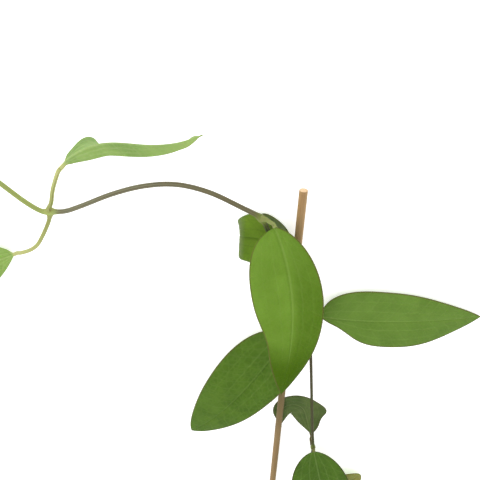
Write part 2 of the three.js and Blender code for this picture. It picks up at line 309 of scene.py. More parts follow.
@dataclass(frozen=True)
class Placement:
    """Sets points of the plant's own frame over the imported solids."""

    shift: Point

    @classmethod
    def over_cane(cls) -> "Placement":
        """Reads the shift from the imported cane, whose middle is known in both frames.

        Returns:
            The placement.
        """
        low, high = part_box("cane")
        middle = (low + high) / (2 * MM)
        return cls((middle.x - CANE_LINE_X, middle.y - (CANE_TOP_Y + CANE_FOOT_Y) / 2, 0.0))

    def to_metres(self, points: Array) -> Array:
        """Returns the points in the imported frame, in metres."""
        return (np.asarray(points, float) + np.asarray(self.shift)) * MM


@dataclass
class Skin:
    """A closed body over rings of points, with the values that its finish reads at each point.

    Attributes:
        rings: Points in millimetres, counted along, then around.
        values: Named vectors, counted in the same way.
        strips: For each strip of faces along the body, the number of its material.
    """

    rings: Array
    values: Values
    strips: Array

    def faces(self) -> tuple[Corners, list[int]]:
        """Lists the faces.

        Returns:
            The corners of each face, and each face's material number.
        """
        count, around = self.rings.shape[:2]
        first, last, end = count * around, count * around + 1, (count - 1) * around
        steps = [(j, (j + 1) % around) for j in range(around)]
        corners: Corners = []
        for a in range(0, end, around):
            b = a + around
            corners += [(a + j, a + k, b + k, b + j) for j, k in steps]
        for j, k in steps:
            corners += [(first, k, j), (last, end + j, end + k)]
        strips = self.strips.tolist()
        return corners, strips * (count - 1) + [strip for strip in strips for _ in range(2)]

    def build(self, name: str, placement: Placement, finishes: Sequence[Material]) -> Object:
        """Makes the mesh object.

        Args:
            name: The piece's name.
            placement: Where the plant's frame lies.
            finishes: The materials, by number.

        Returns:
            The new object, with its faces looking outwards.
        """
        flat = self.rings.reshape(-1, 3)
        flat = np.vstack([flat, self.rings[0].mean(0), self.rings[-1].mean(0)])
        corners, materials = self.faces()
        mesh = bpy.data.meshes.new(name)
        mesh.from_pydata(placement.to_metres(flat).tolist(), [], corners)
        mesh.polygons.foreach_set("material_index", materials)
        mesh.polygons.foreach_set("use_smooth", [True] * len(corners))
        for label, value in self.values.items():
            ends = np.stack([value[0].mean(0), value[-1].mean(0)])
            data = np.vstack([value.reshape(-1, 3), ends]).astype(np.float32)
            layer = mesh.attributes.new(label, "FLOAT_VECTOR", "POINT")
            layer.data.foreach_set("vector", data.ravel())
        for finish in finishes:
            mesh.materials.append(finish)
        mesh.update()
        if self.volume(flat, corners) < 0:
            mesh.flip_normals()
        piece = bpy.data.objects.new(name, mesh)
        bpy.context.scene.collection.objects.link(piece)
        return piece

    @staticmethod
    def volume(points: Array, corners: Corners) -> float:
        """Measures the volume inside the faces.

        Args:
            points: The points.
            corners: The corners of each face.

        Returns:
            The volume, below 0 where the faces look inwards.
        """
        fans = [(c[0], c[k], c[k + 1]) for c in corners for k in range(1, len(c) - 1)]
        a, b, c = (points[np.asarray(fans)[:, k]] for k in range(3))
        return float(np.einsum("ij,ij->i", a, np.cross(b, c)).sum() / 6)


# ---------------------------------------------------------------- shader nodes


def linear(colour: Colour) -> tuple[float, float, float, float]:
    """Turns a colour in 0 to 255 display values into the linear values that shaders take."""
    parts = [c / 255 for c in colour]
    return (*(p / 12.92 if p <= 0.04045 else ((p + 0.055) / 1.055) ** 2.4 for p in parts), 1.0)


class Sheet:
    """Lays nodes into a tree and joins them."""

    MIX_SHARE, MIX_FIRST, MIX_SECOND, MIX_RESULT = 0, 6, 7, 2

    def __init__(self, tree: Tree) -> None:
        """Starts on a tree, which keeps what it already holds."""
        self.tree = tree

    def feed(self, socket: Socket, value: Feed) -> None:
        """Joins a socket to an output, or sets it to a number.

        Args:
            socket: The socket.
            value: The output or number.
        """
        if isinstance(value, Socket):
            self.tree.links.new(value, socket)
        else:
            socket.default_value = value

    def fill(self, node: Node, inputs: dict[str | int, Feed]) -> Node:
        """Gives sockets of a node their outputs or numbers.

        Args:
            node: The node.
            inputs: What each of these sockets is given, by name or number.

        Returns:
            The node.
        """
        for key, value in inputs.items():
            self.feed(node.inputs[key], value)
        return node

    def add(self, kind: str, inputs: dict | Sequence[Feed] = (), **settings: object) -> Node:
        """Adds one node.

        Args:
            kind: The node's type.
            inputs: What its sockets are given, by name, or in order from the first.
            **settings: The node's own properties.

        Returns:
            The node.
        """
        node = self.tree.nodes.new(kind)
        for key, value in settings.items():
            setattr(node, key, value)
        return self.fill(node, inputs if isinstance(inputs, dict) else dict(enumerate(inputs)))

    def math(self, operation: str, *values: Feed, clamp: bool = False) -> Socket:
        """Adds a sum and returns its output."""
        node = self.add("ShaderNodeMath", values, operation=operation, use_clamp=clamp)
        return node.outputs[0]

    def size_of(self, value: Feed) -> Socket:
        """Adds a value's distance from 0 and returns it."""
        return self.math("ABSOLUTE", value)

    def rest_of(self, value: Feed) -> Socket:
        """Adds 1 less a value and returns it."""
        return self.math("SUBTRACT", 1.0, value)

    def times(self, value: Feed, *factors: Feed) -> Feed:
        """Adds a product.

        Args:
            value: The first factor.
            *factors: The others.

        Returns:
            The product.
        """
        for factor in factors:
            value = self.math("MULTIPLY", value, factor)
        return value

    def total(self, *parts: tuple[Feed, float]) -> Feed:
        """Adds a sum of outputs, each times its own factor.

        Args:
            *parts: The outputs with their factors.

        Returns:
            The sum.
        """
        out: Feed = 0.0
        for value, factor in parts:
            out = self.math("MULTIPLY_ADD", value, factor, out)
        return out

    def ease(self, value: Feed, low: Feed, high: Feed, start: float = 0, stop: float = 1) -> Socket:
        """Adds a smooth step from start at low to stop at high and returns its output."""
        inputs = (value, low, high, start, stop)
        return self.add("ShaderNodeMapRange", inputs, interpolation_type="SMOOTHSTEP").outputs[0]

    def blend(self, share: Feed, first: Feed, second: Feed) -> Socket:
        """Adds a mix of two colours.

        Args:
            share: How much of the second shows.
            first: An output, or a colour in display values.
            second: The same for the other colour.

        Returns:
            The mixed colour.
        """
        node = self.add("ShaderNodeMix", data_type="RGBA", clamp_factor=True)
        self.feed(node.inputs[self.MIX_SHARE], share)
        for key, value in ((self.MIX_FIRST, first), (self.MIX_SECOND, second)):
            self.feed(node.inputs[key], linear(value) if isinstance(value, tuple) else value)
        return node.outputs[self.MIX_RESULT]

    def paint(self, under: Feed, *coats: tuple[Feed, Feed]) -> Feed:
        """Lays coats over a colour, one after another.

        Args:
            under: The colour below.
            *coats: Each coat's share and colour.

        Returns:
            The painted colour.
        """
        for share, colour in coats:
            under = self.blend(share, under, colour)
        return under

    def noise(self, vector: Feed, scale: Feed, detail: float = 3.0, rough: float = 0.5) -> Socket:
        """Adds soft noise and returns its value."""
        inputs = {"Vector": vector, "Scale": scale, "Detail": detail, "Roughness": rough}
        return self.add("ShaderNodeTexNoise", inputs).outputs[0]

    def stretched(self, vector: Feed, factors: Point) -> Socket:
        """Adds a product of a vector with three factors and returns it."""
        return self.add("ShaderNodeVectorMath", (vector, factors), operation="MULTIPLY").outputs[0]

    def vector_of(self, label: str) -> Socket:
        """Reads one of the skin's values as a vector."""
        node = self.add("ShaderNodeAttribute", attribute_name=label, attribute_type="GEOMETRY")
        return node.outputs["Vector"]

    def split(self, vector: Feed) -> list[Socket]:
        """Splits a vector into its three numbers."""
        return list(self.add("ShaderNodeSeparateXYZ", (vector,)).outputs)

    def bump(self, strength: float, depth: float, height: Feed) -> Socket:
        """Adds relief of a depth in millimetres and returns its normals."""
        inputs = {"Strength": strength, "Distance": depth * MM, "Height": height}
        return self.add("ShaderNodeBump", inputs).outputs[0]


def open_group(name: str, inputs: dict[str, float]) -> tuple[Sheet, Sockets]:
    """Starts a node group whose inputs are all plain numbers.

    Args:
        name: The group's name.
        inputs: Each input's name and usual value.

    Returns:
        The sheet to lay nodes on, and the inputs by name.
    """
    tree = bpy.data.node_groups.new(name, "ShaderNodeTree")
    for label, usual in inputs.items():
        face = tree.interface
        socket = face.new_socket(name=label, in_out="INPUT", socket_type="NodeSocketFloat")
        socket.default_value = usual
    sheet = Sheet(tree)
    given = sheet.add("NodeGroupInput")
    return sheet, {label: given.outputs[label] for label in inputs}


def close_group(sheet: Sheet, results: Sockets) -> Tree:
    """Ends a node group.

    Args:
        sheet: The group's sheet.
        results: What the group puts out, by name.

    Returns:
        The group.
    """
    for label in results:
        face = sheet.tree.interface
        face.new_socket(name=label, in_out="OUTPUT", socket_type="NodeSocketFloat")
    sheet.fill(sheet.add("NodeGroupOutput"), results)
    return sheet.tree


@dataclass(frozen=True)
class VeinPattern:
    """How a blade's veins run and fade, in millimetres and parts of the width and length.

    Each run of four numbers is a value's start and stop, then the strength at each.
    """

    taper: Run = (0.0, 1.0, 1.0, 0.35)
    core: float = 0.35
    groove_shade_offset: float = -1.25
    groove_shade_width: float = 1.1
    shade_side: Run = (-0.1, 0.3, 0.0, 1.0)
    shade_growth: Run = (0.05, 0.4, 0.25, 1.0)
    stalk_stop: float = -1.0
    laterals: tuple[Pair, ...] = ((0.33, 0.9), (0.66, 0.6))
    lateral_edge: Run = (0.05, 0.6, 1.0, 0.0)
    lateral_fade: Run = (0.3, 0.9, 1.0, 0.15)
    lateral_wander: float = 1.6
    spacing: float = 7.0
    slant: float = -0.9
    arc: float = 0.012
    stagger: float = 0.27
    side_edge: Run = (0.04, 0.55, 1.0, 0.0)
    side_wander: float = 3.0
    wander_scale: float = 0.16
    cell_shape: Point = (1.0, 0.8, 0.0)
    network_edge: Run = (0.0, 0.22, 1.0, 0.0)
    margin_core: float = 0.2
    rim_core: float = 0.6

    def build(self) -> Tree:
        """Draws a blade's veins and margin from where each point lies on it.

        Draws a blade's veins and margin, and its painted shade, from where each point lies on it.
        against stalk. The value "flat" holds the place in millimetres across and along, and the
        part of the length.

        Returns:
            The group. Its masks go from 0, plain, to 1: on the vein, on the margin, on the painted
            shade in the groove beside the midrib and on the painted shade of one side. Along is the
            part of the length, and Stalk goes from 0 at the stalk's foot to 1 at the blade.
        """
        inputs = {
            "Middle Width": 0.62, "Network Size": 1.7, "Margin Width": 1.0, "Groove Side": -1.0,
            "Shade Side": 1.0, "Stalk Run": -9.0, "Rim At": 2.0, "Rim Width": 0.05,
        }
        sheet, given = open_group("Leaf veins", inputs)
        across, half, share = sheet.split(sheet.vector_of("blade"))
        flat = sheet.vector_of("flat")
        x, y, along = sheet.split(flat)
        wander = sheet.math("SUBTRACT", sheet.noise(flat, self.wander_scale, detail=2.0), 0.5)
        side, away = sheet.size_of(across), sheet.size_of(x)

        width = sheet.times(given["Middle Width"], sheet.ease(along, *self.taper))
        middle = sheet.ease(away, sheet.times(width, self.core), width, 1.0, 0.0)
        # Painted shade: a dark line in the groove beside the midrib.
        groove_shade_at = sheet.times(width, given["Groove Side"])
        beside = sheet.size_of(sheet.total((x, 1.0), (groove_shade_at, self.groove_shade_offset)))
        groove = sheet.ease(beside, 0.0, sheet.times(width, self.groove_shade_width), 1.0, 0.0)
        # Painted shade: the side of the blade turned from the light is darker, and more so towards
        # the tip.
        shade = sheet.ease(sheet.times(across, given["Shade Side"]), *self.shade_side)
        shade = sheet.times(shade, sheet.ease(along, *self.shade_growth))

        laterals: list[tuple[Feed, float]] = []
        for place, strength in self.laterals:
            offset = sheet.times(sheet.math("SUBTRACT", side, place), half)
            offset = sheet.total((offset, 1.0), (wander, self.lateral_wander))
            laterals.append((sheet.ease(sheet.size_of(offset), *self.lateral_edge), strength))
        fade = sheet.ease(along, *self.lateral_fade)
        lateral = sheet.math("MULTIPLY", sheet.total(*laterals), fade, clamp=True)

        lift = ((away, self.slant), (sheet.times(away, away), self.arc), (wander, self.side_wander))
        rows = sheet.math("DIVIDE", sheet.total((y, 1.0), *lift), self.spacing)
        rows = sheet.math("ADD", rows, sheet.times(sheet.math("SIGN", x), self.stagger))
        gap = sheet.size_of(sheet.math("SUBTRACT", sheet.math("FRACT", rows), 0.5))
        veins = sheet.ease(sheet.times(gap, self.spacing), *self.side_edge)
        scale = sheet.math("DIVIDE", 1.0, given["Network Size"])
        cells = {"Vector": sheet.stretched(flat, self.cell_shape), "Scale": scale}
        cells = sheet.add("ShaderNodeTexVoronoi", cells, feature="DISTANCE_TO_EDGE")
        network = sheet.ease(cells.outputs["Distance"], *self.network_edge)

        inset = sheet.times(sheet.rest_of(side), half)
        core = sheet.times(given["Margin Width"], self.margin_core)
        margin = sheet.ease(inset, core, given["Margin Width"], 1.0, 0.0)
        bend = sheet.size_of(sheet.math("SUBTRACT", along, given["Rim At"]))
        core = sheet.times(given["Rim Width"], self.rim_core)
        rim = sheet.ease(bend, core, given["Rim Width"], 1.0, 0.0)
        return close_group(sheet, {
            "Middle": middle, "Groove Shade": groove, "Lateral": lateral, "Side": veins,
            "Network": network, "Margin": sheet.math("MAXIMUM", margin, rim), "Share": share,
            "Along": along, "Shade": shade,
            "Stalk": sheet.ease(y, given["Stalk Run"], self.stalk_stop),
        })


@dataclass(frozen=True)
class GrainPattern:
    """How streaks, fibres and patches run along a stem, stalk or cane."""

    streak_detail: Pair = (2.0, 0.55)
    streak_run: Pair = (0.32, 0.68)
    fibre_detail: Pair = (4.0, 0.6)
    fibre_run: Pair = (0.3, 0.7)
    patch_shape: Point = (0.3, 0.3, 0.05)
    patch_run: Pair = (0.35, 0.65)

    def build(self) -> Tree:
        """Draws the grain.

        The value "straight" holds each point as if the piece were straight, in millimetres, with
        its length along the third number.

        Returns:
            The group, with broad streaks, fine fibres and slow patches, each from 0 to 1.
        """
        inputs = {"Streak Scale": 1.6, "Fibre Scale": 6.0, "Stretch": 0.05}
        sheet, given = open_group("Lengthwise grain", inputs)
        straight = sheet.vector_of("straight")
        x, y, z = sheet.split(straight)
        drawn = sheet.add("ShaderNodeCombineXYZ", (x, y, sheet.times(z, given["Stretch"])))
        drawn = drawn.outputs[0]
        streak = sheet.noise(drawn, given["Streak Scale"], *self.streak_detail)
        fibre = sheet.noise(drawn, given["Fibre Scale"], *self.fibre_detail)
        patch = sheet.noise(sheet.stretched(straight, self.patch_shape), 1.0, detail=2.0)
        return close_group(sheet, {
            "Streak": sheet.ease(streak, *self.streak_run),
            "Fibre": sheet.ease(fibre, *self.fibre_run),
            "Patch": sheet.ease(patch, *self.patch_run),
        })


@dataclass(frozen=True)
class MottlePattern:
    """How soft clouds and speckles vary over any piece."""

    cloud_detail: Pair = (3.0, 0.5)
    speckle_detail: Pair = (2.0, 0.6)
    run: Pair = (0.3, 0.7)

    def build(self) -> Tree:
        """Draws the variation from each point's place in space.

        Returns:
            The group, with clouds and speckles of the given sizes, each from 0 to 1.
        """
        sheet, given = open_group("Mottle", {"Size": 12.0, "Fine Size": 0.7})
        place = sheet.add("ShaderNodeTexCoord").outputs["Object"]
        place = sheet.stretched(place, (1 / MM, 1 / MM, 1 / MM))
        cloud = sheet.math("DIVIDE", 1.0, given["Size"])
        speckle = sheet.math("DIVIDE", 1.0, given["Fine Size"])
        return close_group(sheet, {
            "Cloud": sheet.ease(sheet.noise(place, cloud, *self.cloud_detail), *self.run),
            "Speckle": sheet.ease(sheet.noise(place, speckle, *self.speckle_detail), *self.run),
        })


class Effects:
    """The shared shader effects, each built once as a node group."""

    def __init__(self) -> None:
        """Builds every group."""
        self.veins = VeinPattern().build()
        self.grain = GrainPattern().build()
        self.mottle = MottlePattern().build()

    @staticmethod
    def place(sheet: Sheet, tree: Tree, values: dict[str, float] | None = None) -> Sockets:
        """Puts a group into a material.

        Args:
            sheet: The material's sheet.
            tree: The group.
            values: The group's inputs that differ from the usual.

        Returns:
            The group's outputs by name.
        """
        node = sheet.add("ShaderNodeGroup", node_tree=tree)
        sheet.fill(node, values or {})
        return {output.name: output for output in node.outputs}


# ---------------------------------------------------------------- finishes


class Finish:
    """A named finish: the nodes round one Principled shader."""

    name: str

    def build(self, effects: Effects) -> Material:
        """Builds the material.

        Args:
            effects: The shared effects.

        Returns:
            The material.
        """
        material = bpy.data.materials.new(self.name)
        material.use_nodes = True
        sheet = Sheet(material.node_tree)
        shader = material.node_tree.nodes["Principled BSDF"]
        sheet.fill(shader, self.sockets(sheet, effects))
        return material

    def sockets(self, sheet: Sheet, effects: Effects) -> dict[str, Feed]:
        """Lays the finish's nodes and returns what each of the shader's sockets is given."""
        raise NotImplementedError


@dataclass(frozen=True)
class BladeFinish(Finish):
    """One face of a leaf, with its stalk.

    Colours are display values. Distances are in millimetres. A share is how strongly something
    shows. Far is the colour of the speckles and of painted shade: in the groove beside the
    midrib, on the side turned from the light and, on the front leaf, towards the tip. On the
    young underside it is lighter and tints the tip.
    """

    name: str
    light: Colour
    dark: Colour
    far: Colour
    vein: Colour
    margin: Colour
    stalk: Colour
    stalk_foot: Colour
    # Where the far colour comes in towards the tip: painted shade on the front leaf, a lighter tint
    # on the young underside.
    far_from: float = 0.72
    far_reach: float = 0.2
    far_share: float = 0.0
    # Painted shade on the side turned from the light: which side it is, and how strongly it shows.
    shade_side: float = 1.0
    side_shade_share: float = 0.0
    # Painted shade in the groove beside the midrib: which side it lies on, and how strongly it
    # shows.
    groove_shade_side: float = -1.0
    groove_shade_share: float = 0.35
    speckle_share: float = 0.1
    vein_share: float = 0.5
    vein_width: float = 0.62
    lateral_share: float = 0.25
    side_part: float = 0.5
    network_share: float = 0.1
    network_size: float = 1.7
    margin_share: float = 0.75
    margin_width: float = 1.0
    rim_at: float = 2.0
    rim_width: float = 0.05
    stalk_run: float = -9.0
    stalk_streaks: float = 0.3
    streak_scale: float = 2.2
    relief: float = -0.16
    relief_strength: float = 0.6
    ridges: tuple[tuple[str, float], ...] = (
        ("Middle", 1.0), ("Lateral", 0.7), ("Side", 0.6), ("Network", 0.35),
    )
    speckle_relief: float = 0.1
    roughness: float = 0.46
    rough_spread: float = 0.08
    gloss: float = 0.12
    glow: float = 0.25
    glow_radii: Point = (0.5, 1.0, 0.2)
    glow_depth: float = 0.6

    def sockets(self, sheet: Sheet, effects: Effects) -> dict[str, Feed]:
        """Lays the nodes of the blade's green, its painted shade, veins and margin, and of its
        stalk.

        Args:
            sheet: The material's sheet.
            effects: The shared effects.

        Returns:
            What each of the shader's sockets is given.
        """
        veins = effects.place(sheet, effects.veins, {
            "Middle Width": self.vein_width, "Margin Width": self.margin_width,
            "Network Size": self.network_size, "Groove Side": self.groove_shade_side,
            "Shade Side": self.shade_side, "Stalk Run": self.stalk_run,
            "Rim At": self.rim_at, "Rim Width": self.rim_width,
        })
        mottle = effects.place(sheet, effects.mottle)
        grain = effects.place(sheet, effects.grain, {"Streak Scale": self.streak_scale})
        # Towards the tip: painted shade on the front leaf, where it curls away from the light; a
        # lighter tint on the young underside.
        start, stop = self.far_from - self.far_reach, self.far_from + self.far_reach
        far = sheet.ease(veins["Along"], start, stop, 0.0, self.far_share)
        # Speckles are the leaf's own tone; the groove line is painted shade.
        sunk = ((mottle["Speckle"], self.speckle_share), (veins["Groove Shade"], self.groove_shade_share))
        lines = sheet.total(
            (veins["Middle"], self.vein_share),
            (veins["Lateral"], self.lateral_share),
            (veins["Side"], self.lateral_share * self.side_part),
            (veins["Network"], self.network_share),
        )
        # The shaded side, the front leaf's tip and the groove take the far colour as painted shade;
        # speckles, veins and margin are the leaf's own.
        green = sheet.paint(
            sheet.blend(mottle["Cloud"], self.dark, self.light),
            (sheet.times(veins["Shade"], self.side_shade_share), self.far),
            (far, self.far),
            (sheet.total(*sunk), self.far),
            (sheet.times(lines, sheet.rest_of(far)), self.vein),
            (sheet.times(veins["Margin"], self.margin_share), self.margin),
        )
        tint = sheet.paint(
            sheet.blend(veins["Stalk"], self.stalk_foot, self.stalk),
            (sheet.times(grain["Streak"], self.stalk_streaks), self.stalk_foot),
        )
        height = [(veins[label], part) for label, part in self.ridges]
        height = sheet.total(*height, (mottle["Speckle"], self.speckle_relief))
        height = sheet.times(height, veins["Share"])
        return {
            "Base Color": sheet.blend(veins["Share"], tint, green),
            "Roughness": sheet.total(
                (mottle["Speckle"], self.rough_spread),
                (veins["Network"], self.rough_spread),
                (1.0, self.roughness - self.rough_spread / 2),
            ),
            "Normal": sheet.bump(self.relief_strength, self.relief, height),
            "Subsurface Weight": self.glow,
            "Subsurface Radius": self.glow_radii,
            "Subsurface Scale": self.glow_depth * MM,
            "Specular IOR Level": self.gloss,
        }


@dataclass(frozen=True)
class Wear:
    """How rough a grained surface is, and how far its grain stands out.

    Attributes:
        rough: Least roughness.
        rough_spread: How much rougher its speckles are.
        strength: Strength of the relief.
        depth: Depth of the relief in millimetres.
        grain: What fibres and streaks each add to the relief.
        speckle: What speckles add to it.
        gloss: Specular level.
    """

    rough: float
    rough_spread: float
    strength: float
    depth: float
    grain: float
    speckle: float
    gloss: float

    def sockets(self, sheet: Sheet, grain: Sockets, mottle: Sockets) -> dict[str, Feed]:
        """Lays the nodes of the wear.

        Args:
            sheet: The material's sheet.
            grain: Outputs of the grain.
            mottle: Outputs of the mottle.

        Returns:
            What these sockets of the shader are given.
        """
        speckle = mottle["Speckle"]
        ridges = ((grain["Fibre"], self.grain), (grain["Streak"], self.grain))
        height = sheet.total(*ridges, (speckle, self.speckle))
        return {
            "Roughness": sheet.total((speckle, self.rough_spread), (1.0, self.rough)),
            "Normal": sheet.bump(self.strength, self.depth, height),
            "Specular IOR Level": self.gloss,
        }


@dataclass(frozen=True)
class StemFinish(Finish):
    """The vine stem, from its cut foot to the growing bud.

    Each band has the parts of the length where its colour starts and where it is full. The first
    two bands are painted shade: of the cane beside the stem, and of the front leaf over it.
    """

    name: str = "stem_skin"
    foot: Colour = (52, 55, 24)
    bands_and_shade: tuple[tuple[Pair, Colour], ...] = (
        ((0.2, 0.28), (62, 58, 40)),  # painted shade of the cane, up beside it
        ((0.45, 0.55), (54, 64, 24)),  # painted shade under the front leaf
        ((0.57, 0.59), (100, 95, 70)),  # at the crown
        ((0.63, 0.75), (120, 118, 94)),  # along the arc
    )
    young: Colour = (144, 156, 86)
    young_run: Pair = (0.835, 0.85)
    node: Colour = (124, 136, 66)
    young_node: Colour = (158, 170, 98)
    node_run: Pair = (0.7, 0.8)
    node_share: float = 0.85
    streak: Colour = (72, 60, 42)
    streak_shares: Pair = (0.6, 0.12)
    pale: Colour = (132, 128, 98)
    pale_share: float = 0.35
    wear: Wear = Wear(0.46, 0.12, strength=0.5, depth=0.12, grain=0.5, speckle=0.2, gloss=0.1)
    glow: float = 0.08
    glow_depth: float = 0.5

    def sockets(self, sheet: Sheet, effects: Effects) -> dict[str, Feed]:
        """Lays the nodes of the stem's bands, among them painted shade, and of its streaks and
        nodes.

        Args:
            sheet: The material's sheet.
            effects: The shared effects.

        Returns:
            What each of the shader's sockets is given.
        """
        sizes = {"Streak Scale": 1.5, "Fibre Scale": 5.0, "Stretch": 0.03}
        grain = effects.place(sheet, effects.grain, sizes)
        mottle = effects.place(sheet, effects.mottle, {"Size": 9.0, "Fine Size": 0.4})
        age, swell, ridge = sheet.split(sheet.vector_of("stem"))
        youth = sheet.ease(age, *self.young_run)
        bare = sheet.ease(youth, 0.0, 1.0, *self.streak_shares)
        light = sheet.times(grain["Fibre"], self.pale_share, sheet.rest_of(ridge))
        node = sheet.blend(sheet.ease(age, *self.node_run), self.node, self.young_node)
        colour = sheet.paint(
            self.foot,
            *((sheet.ease(age, *run), colour) for run, colour in self.bands_and_shade),
            (youth, self.young),
            (sheet.times(grain["Streak"], ridge, bare), self.streak),
            (light, self.pale),
            (sheet.times(swell, self.node_share), node),
        )
        return {
            "Base Color": colour,
            **self.wear.sockets(sheet, grain, mottle),
            "Subsurface Weight": self.glow,
            "Subsurface Scale": self.glow_depth * MM,
        }


@dataclass(frozen=True)
class CaneFinish(Finish):
    """The split cane: its weathered side with a stretch darkened by painted shade of the leaves,
    and its pale cut ends.
    """

    name: str = "cane_skin"
    tan: Colour = (170, 138, 92)
    brown: Colour = (142, 108, 74)
    brown_streaks: float = 0.55
    brown_fibres: float = 0.3
    grey: Colour = (150, 132, 100)
    grey_share: float = 0.35
    # Painted shade of the leaves over the cane: darkest in the upper middle, fading out above,
    # weaker towards the foot and broken by patches.
    painted_shade: Colour = (104, 90, 56)
    painted_shade_top: Run = (0.52, 0.6, 1.0, 0.0)
    painted_shade_foot: Run = (0.22, 0.4, 0.5, 1.0)
    painted_shade_share: float = 0.9
    painted_shade_patches: float = -0.2
    cut: Colour = (226, 194, 152)
    pore: Colour = (150, 112, 76)
    pore_scale: float = 4.5
    pore_run: Run = (0.1, 0.35, 0.7, 0.0)
    wear: Wear = Wear(0.62, 0.15, strength=0.7, depth=0.15, grain=0.6, speckle=0.15, gloss=0.25)

    def sockets(self, sheet: Sheet, effects: Effects) -> dict[str, Feed]:
        """Lays the nodes of the cane's side and ends.

        Args:
            sheet: The material's sheet.
            effects: The shared effects.

        Returns:
            What each of the shader's sockets is given.
        """
        sizes = {"Streak Scale": 0.9, "Fibre Scale": 4.0, "Stretch": 0.012}
        grain = effects.place(sheet, effects.grain, sizes)
        mottle = effects.place(sheet, effects.mottle, {"Size": 16.0, "Fine Size": 0.35})
        end, along, _ = sheet.split(sheet.vector_of("cane"))
        # Painted shade: the stretch of the cane beside and under the leaves is darker.
        below = sheet.ease(along, *self.painted_shade_top)
        painted_shade_mask = sheet.times(sheet.ease(along, *self.painted_shade_foot), below)
        patchy = sheet.times(grain["Patch"], painted_shade_mask)
        side = sheet.paint(
            self.tan,
            (sheet.times(grain["Streak"], self.brown_streaks), self.brown),
            (sheet.times(grain["Patch"], self.grey_share), self.grey),
            (sheet.times(grain["Fibre"], self.brown_fibres), self.brown),
            (sheet.total((painted_shade_mask, self.painted_shade_share), (patchy, self.painted_shade_patches)), self.painted_shade),
        )
        pores = {"Vector": sheet.vector_of("straight"), "Scale": self.pore_scale}
        pores = sheet.add("ShaderNodeTexVoronoi", pores).outputs[0]
        face = sheet.blend(sheet.ease(pores, *self.pore_run), self.cut, self.pore)
        colour = sheet.blend(end, side, face)
        return {"Base Color": colour, **self.wear.sockets(sheet, grain, mottle)}


@dataclass(frozen=True)
class FloorFinish(Finish):
    """Plain white board with very faint clouds, which gives off a little light."""

    name: str = "floor_board"
    white: Colour = (250, 250, 250)
    cloud: Colour = (247, 247, 248)
    cloud_size: float = 120.0
    roughness: float = 0.9
    gloss: float = 0.1
    glow: float = 0.5

    def sockets(self, sheet: Sheet, effects: Effects) -> dict[str, Feed]:
        """Lays the nodes of the board.

        Args:
            sheet: The material's sheet.
            effects: The shared effects.

        Returns:
            What each of the shader's sockets is given.
        """
        mottle = effects.place(sheet, effects.mottle, {"Size": self.cloud_size})
        return {
            "Base Color": sheet.blend(mottle["Cloud"], self.white, self.cloud),
            "Roughness": self.roughness,
            "Specular IOR Level": self.gloss,
            "Emission Color": WHITE,
            "Emission Strength": self.glow,
        }


# ---------------------------------------------------------------- parts of the shoot


class Part:
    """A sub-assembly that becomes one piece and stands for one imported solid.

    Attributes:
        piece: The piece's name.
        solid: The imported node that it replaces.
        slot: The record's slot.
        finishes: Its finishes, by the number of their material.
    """

    piece: str
    solid: str
    slot: Slot
    finishes: Sequence[Finish]

    def skin(self) -> Skin:
        """Shapes the part."""
        raise NotImplementedError

    def build(self, effects: Effects, placement: Placement) -> Object:
        """Builds the part, dresses it and fixes it to the shoot.

        Args:
            effects: The shared effects.
            placement: Where the plant's frame lies.

        Returns:
            The piece.
        """
        skin = self.skin()
        finishes = [finish.build(effects) for finish in self.finishes]
        piece = skin.build(self.piece, placement, finishes)
        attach(piece, BODY)
        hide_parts(self.solid)
        return piece


@dataclass(frozen=True)
class LeafDetail:
    """The small forms that every leaf has, in millimetres or in parts of its width or length.

    Attributes:
        half_thickness: Half the blade's thickness.
        margin_part: What is left of it at the margin.
        margin_power: How late the blade thins towards the margin.
        tip_radius: Half width at the tip.
        settle: Half width over which a fold comes in.
        crease: Width over which the midrib's crease is rounded.
        last_column: Place of the last column of points before the margin.
        even_part: How evenly the columns are spaced.
        round_turn: How far a stalk's section turns to each side, in degrees.
        round_share: Radii of extra width at which the section is all blade.
        painted: Where the stalk's colour gives way to the blade's, and over what length.
        rib_reach: Half width of the stalk's rib below the blade.
        vein_reach: Half width of the midrib's relief.
        vein_fade: What the midrib loses towards the tip.
        laterals: Places across of the long side veins, and their strengths.
        lateral_reach: Half width of their relief.
        lateral_end: Length over which they end at the tip.
        sunk: How deep veins lie in the upper face.
        raised: How far they stand out below.
        pressed: What is left of that on a blade that lies on the floor.
        seat: Where a stalk starts between its node and its first point.
        lead: How far before the blade the stalk takes its direction.
        ring_step: Spacing of the stalk's rings, of which there are least_rings or more.
        flare: How much wider a stalk is at its node, and over what length.
        groove: How deep the groove along its upper side is, and how wide in radians.
    """

    half_thickness: float = 0.17
    margin_part: float = 0.35
    margin_power: int = 24
    tip_radius: float = 0.3
    settle: float = 3.5
    crease: float = 0.12
    last_column: float = 0.97
    even_part: float = 0.75
    round_turn: float = 80
    round_share: float = 3
    painted: Pair = (0.1, 0.2)
    rib_reach: float = 0.7
    vein_reach: float = 0.55
    vein_fade: float = 0.6
    laterals: tuple[Pair, ...] = ((0.33, 0.5), (0.66, 0.3))
    lateral_reach: float = 0.6
    lateral_end: float = 0.3
    sunk: float = 0.16
    raised: float = 0.2
    pressed: float = 0.3
    seat: float = 0.3
    lead: float = 1.6
    ring_step: float = 0.5
    least_rings: int = 8
    flare: Pair = (0.75, 2.2)
    groove: Pair = (0.1, 0.35)


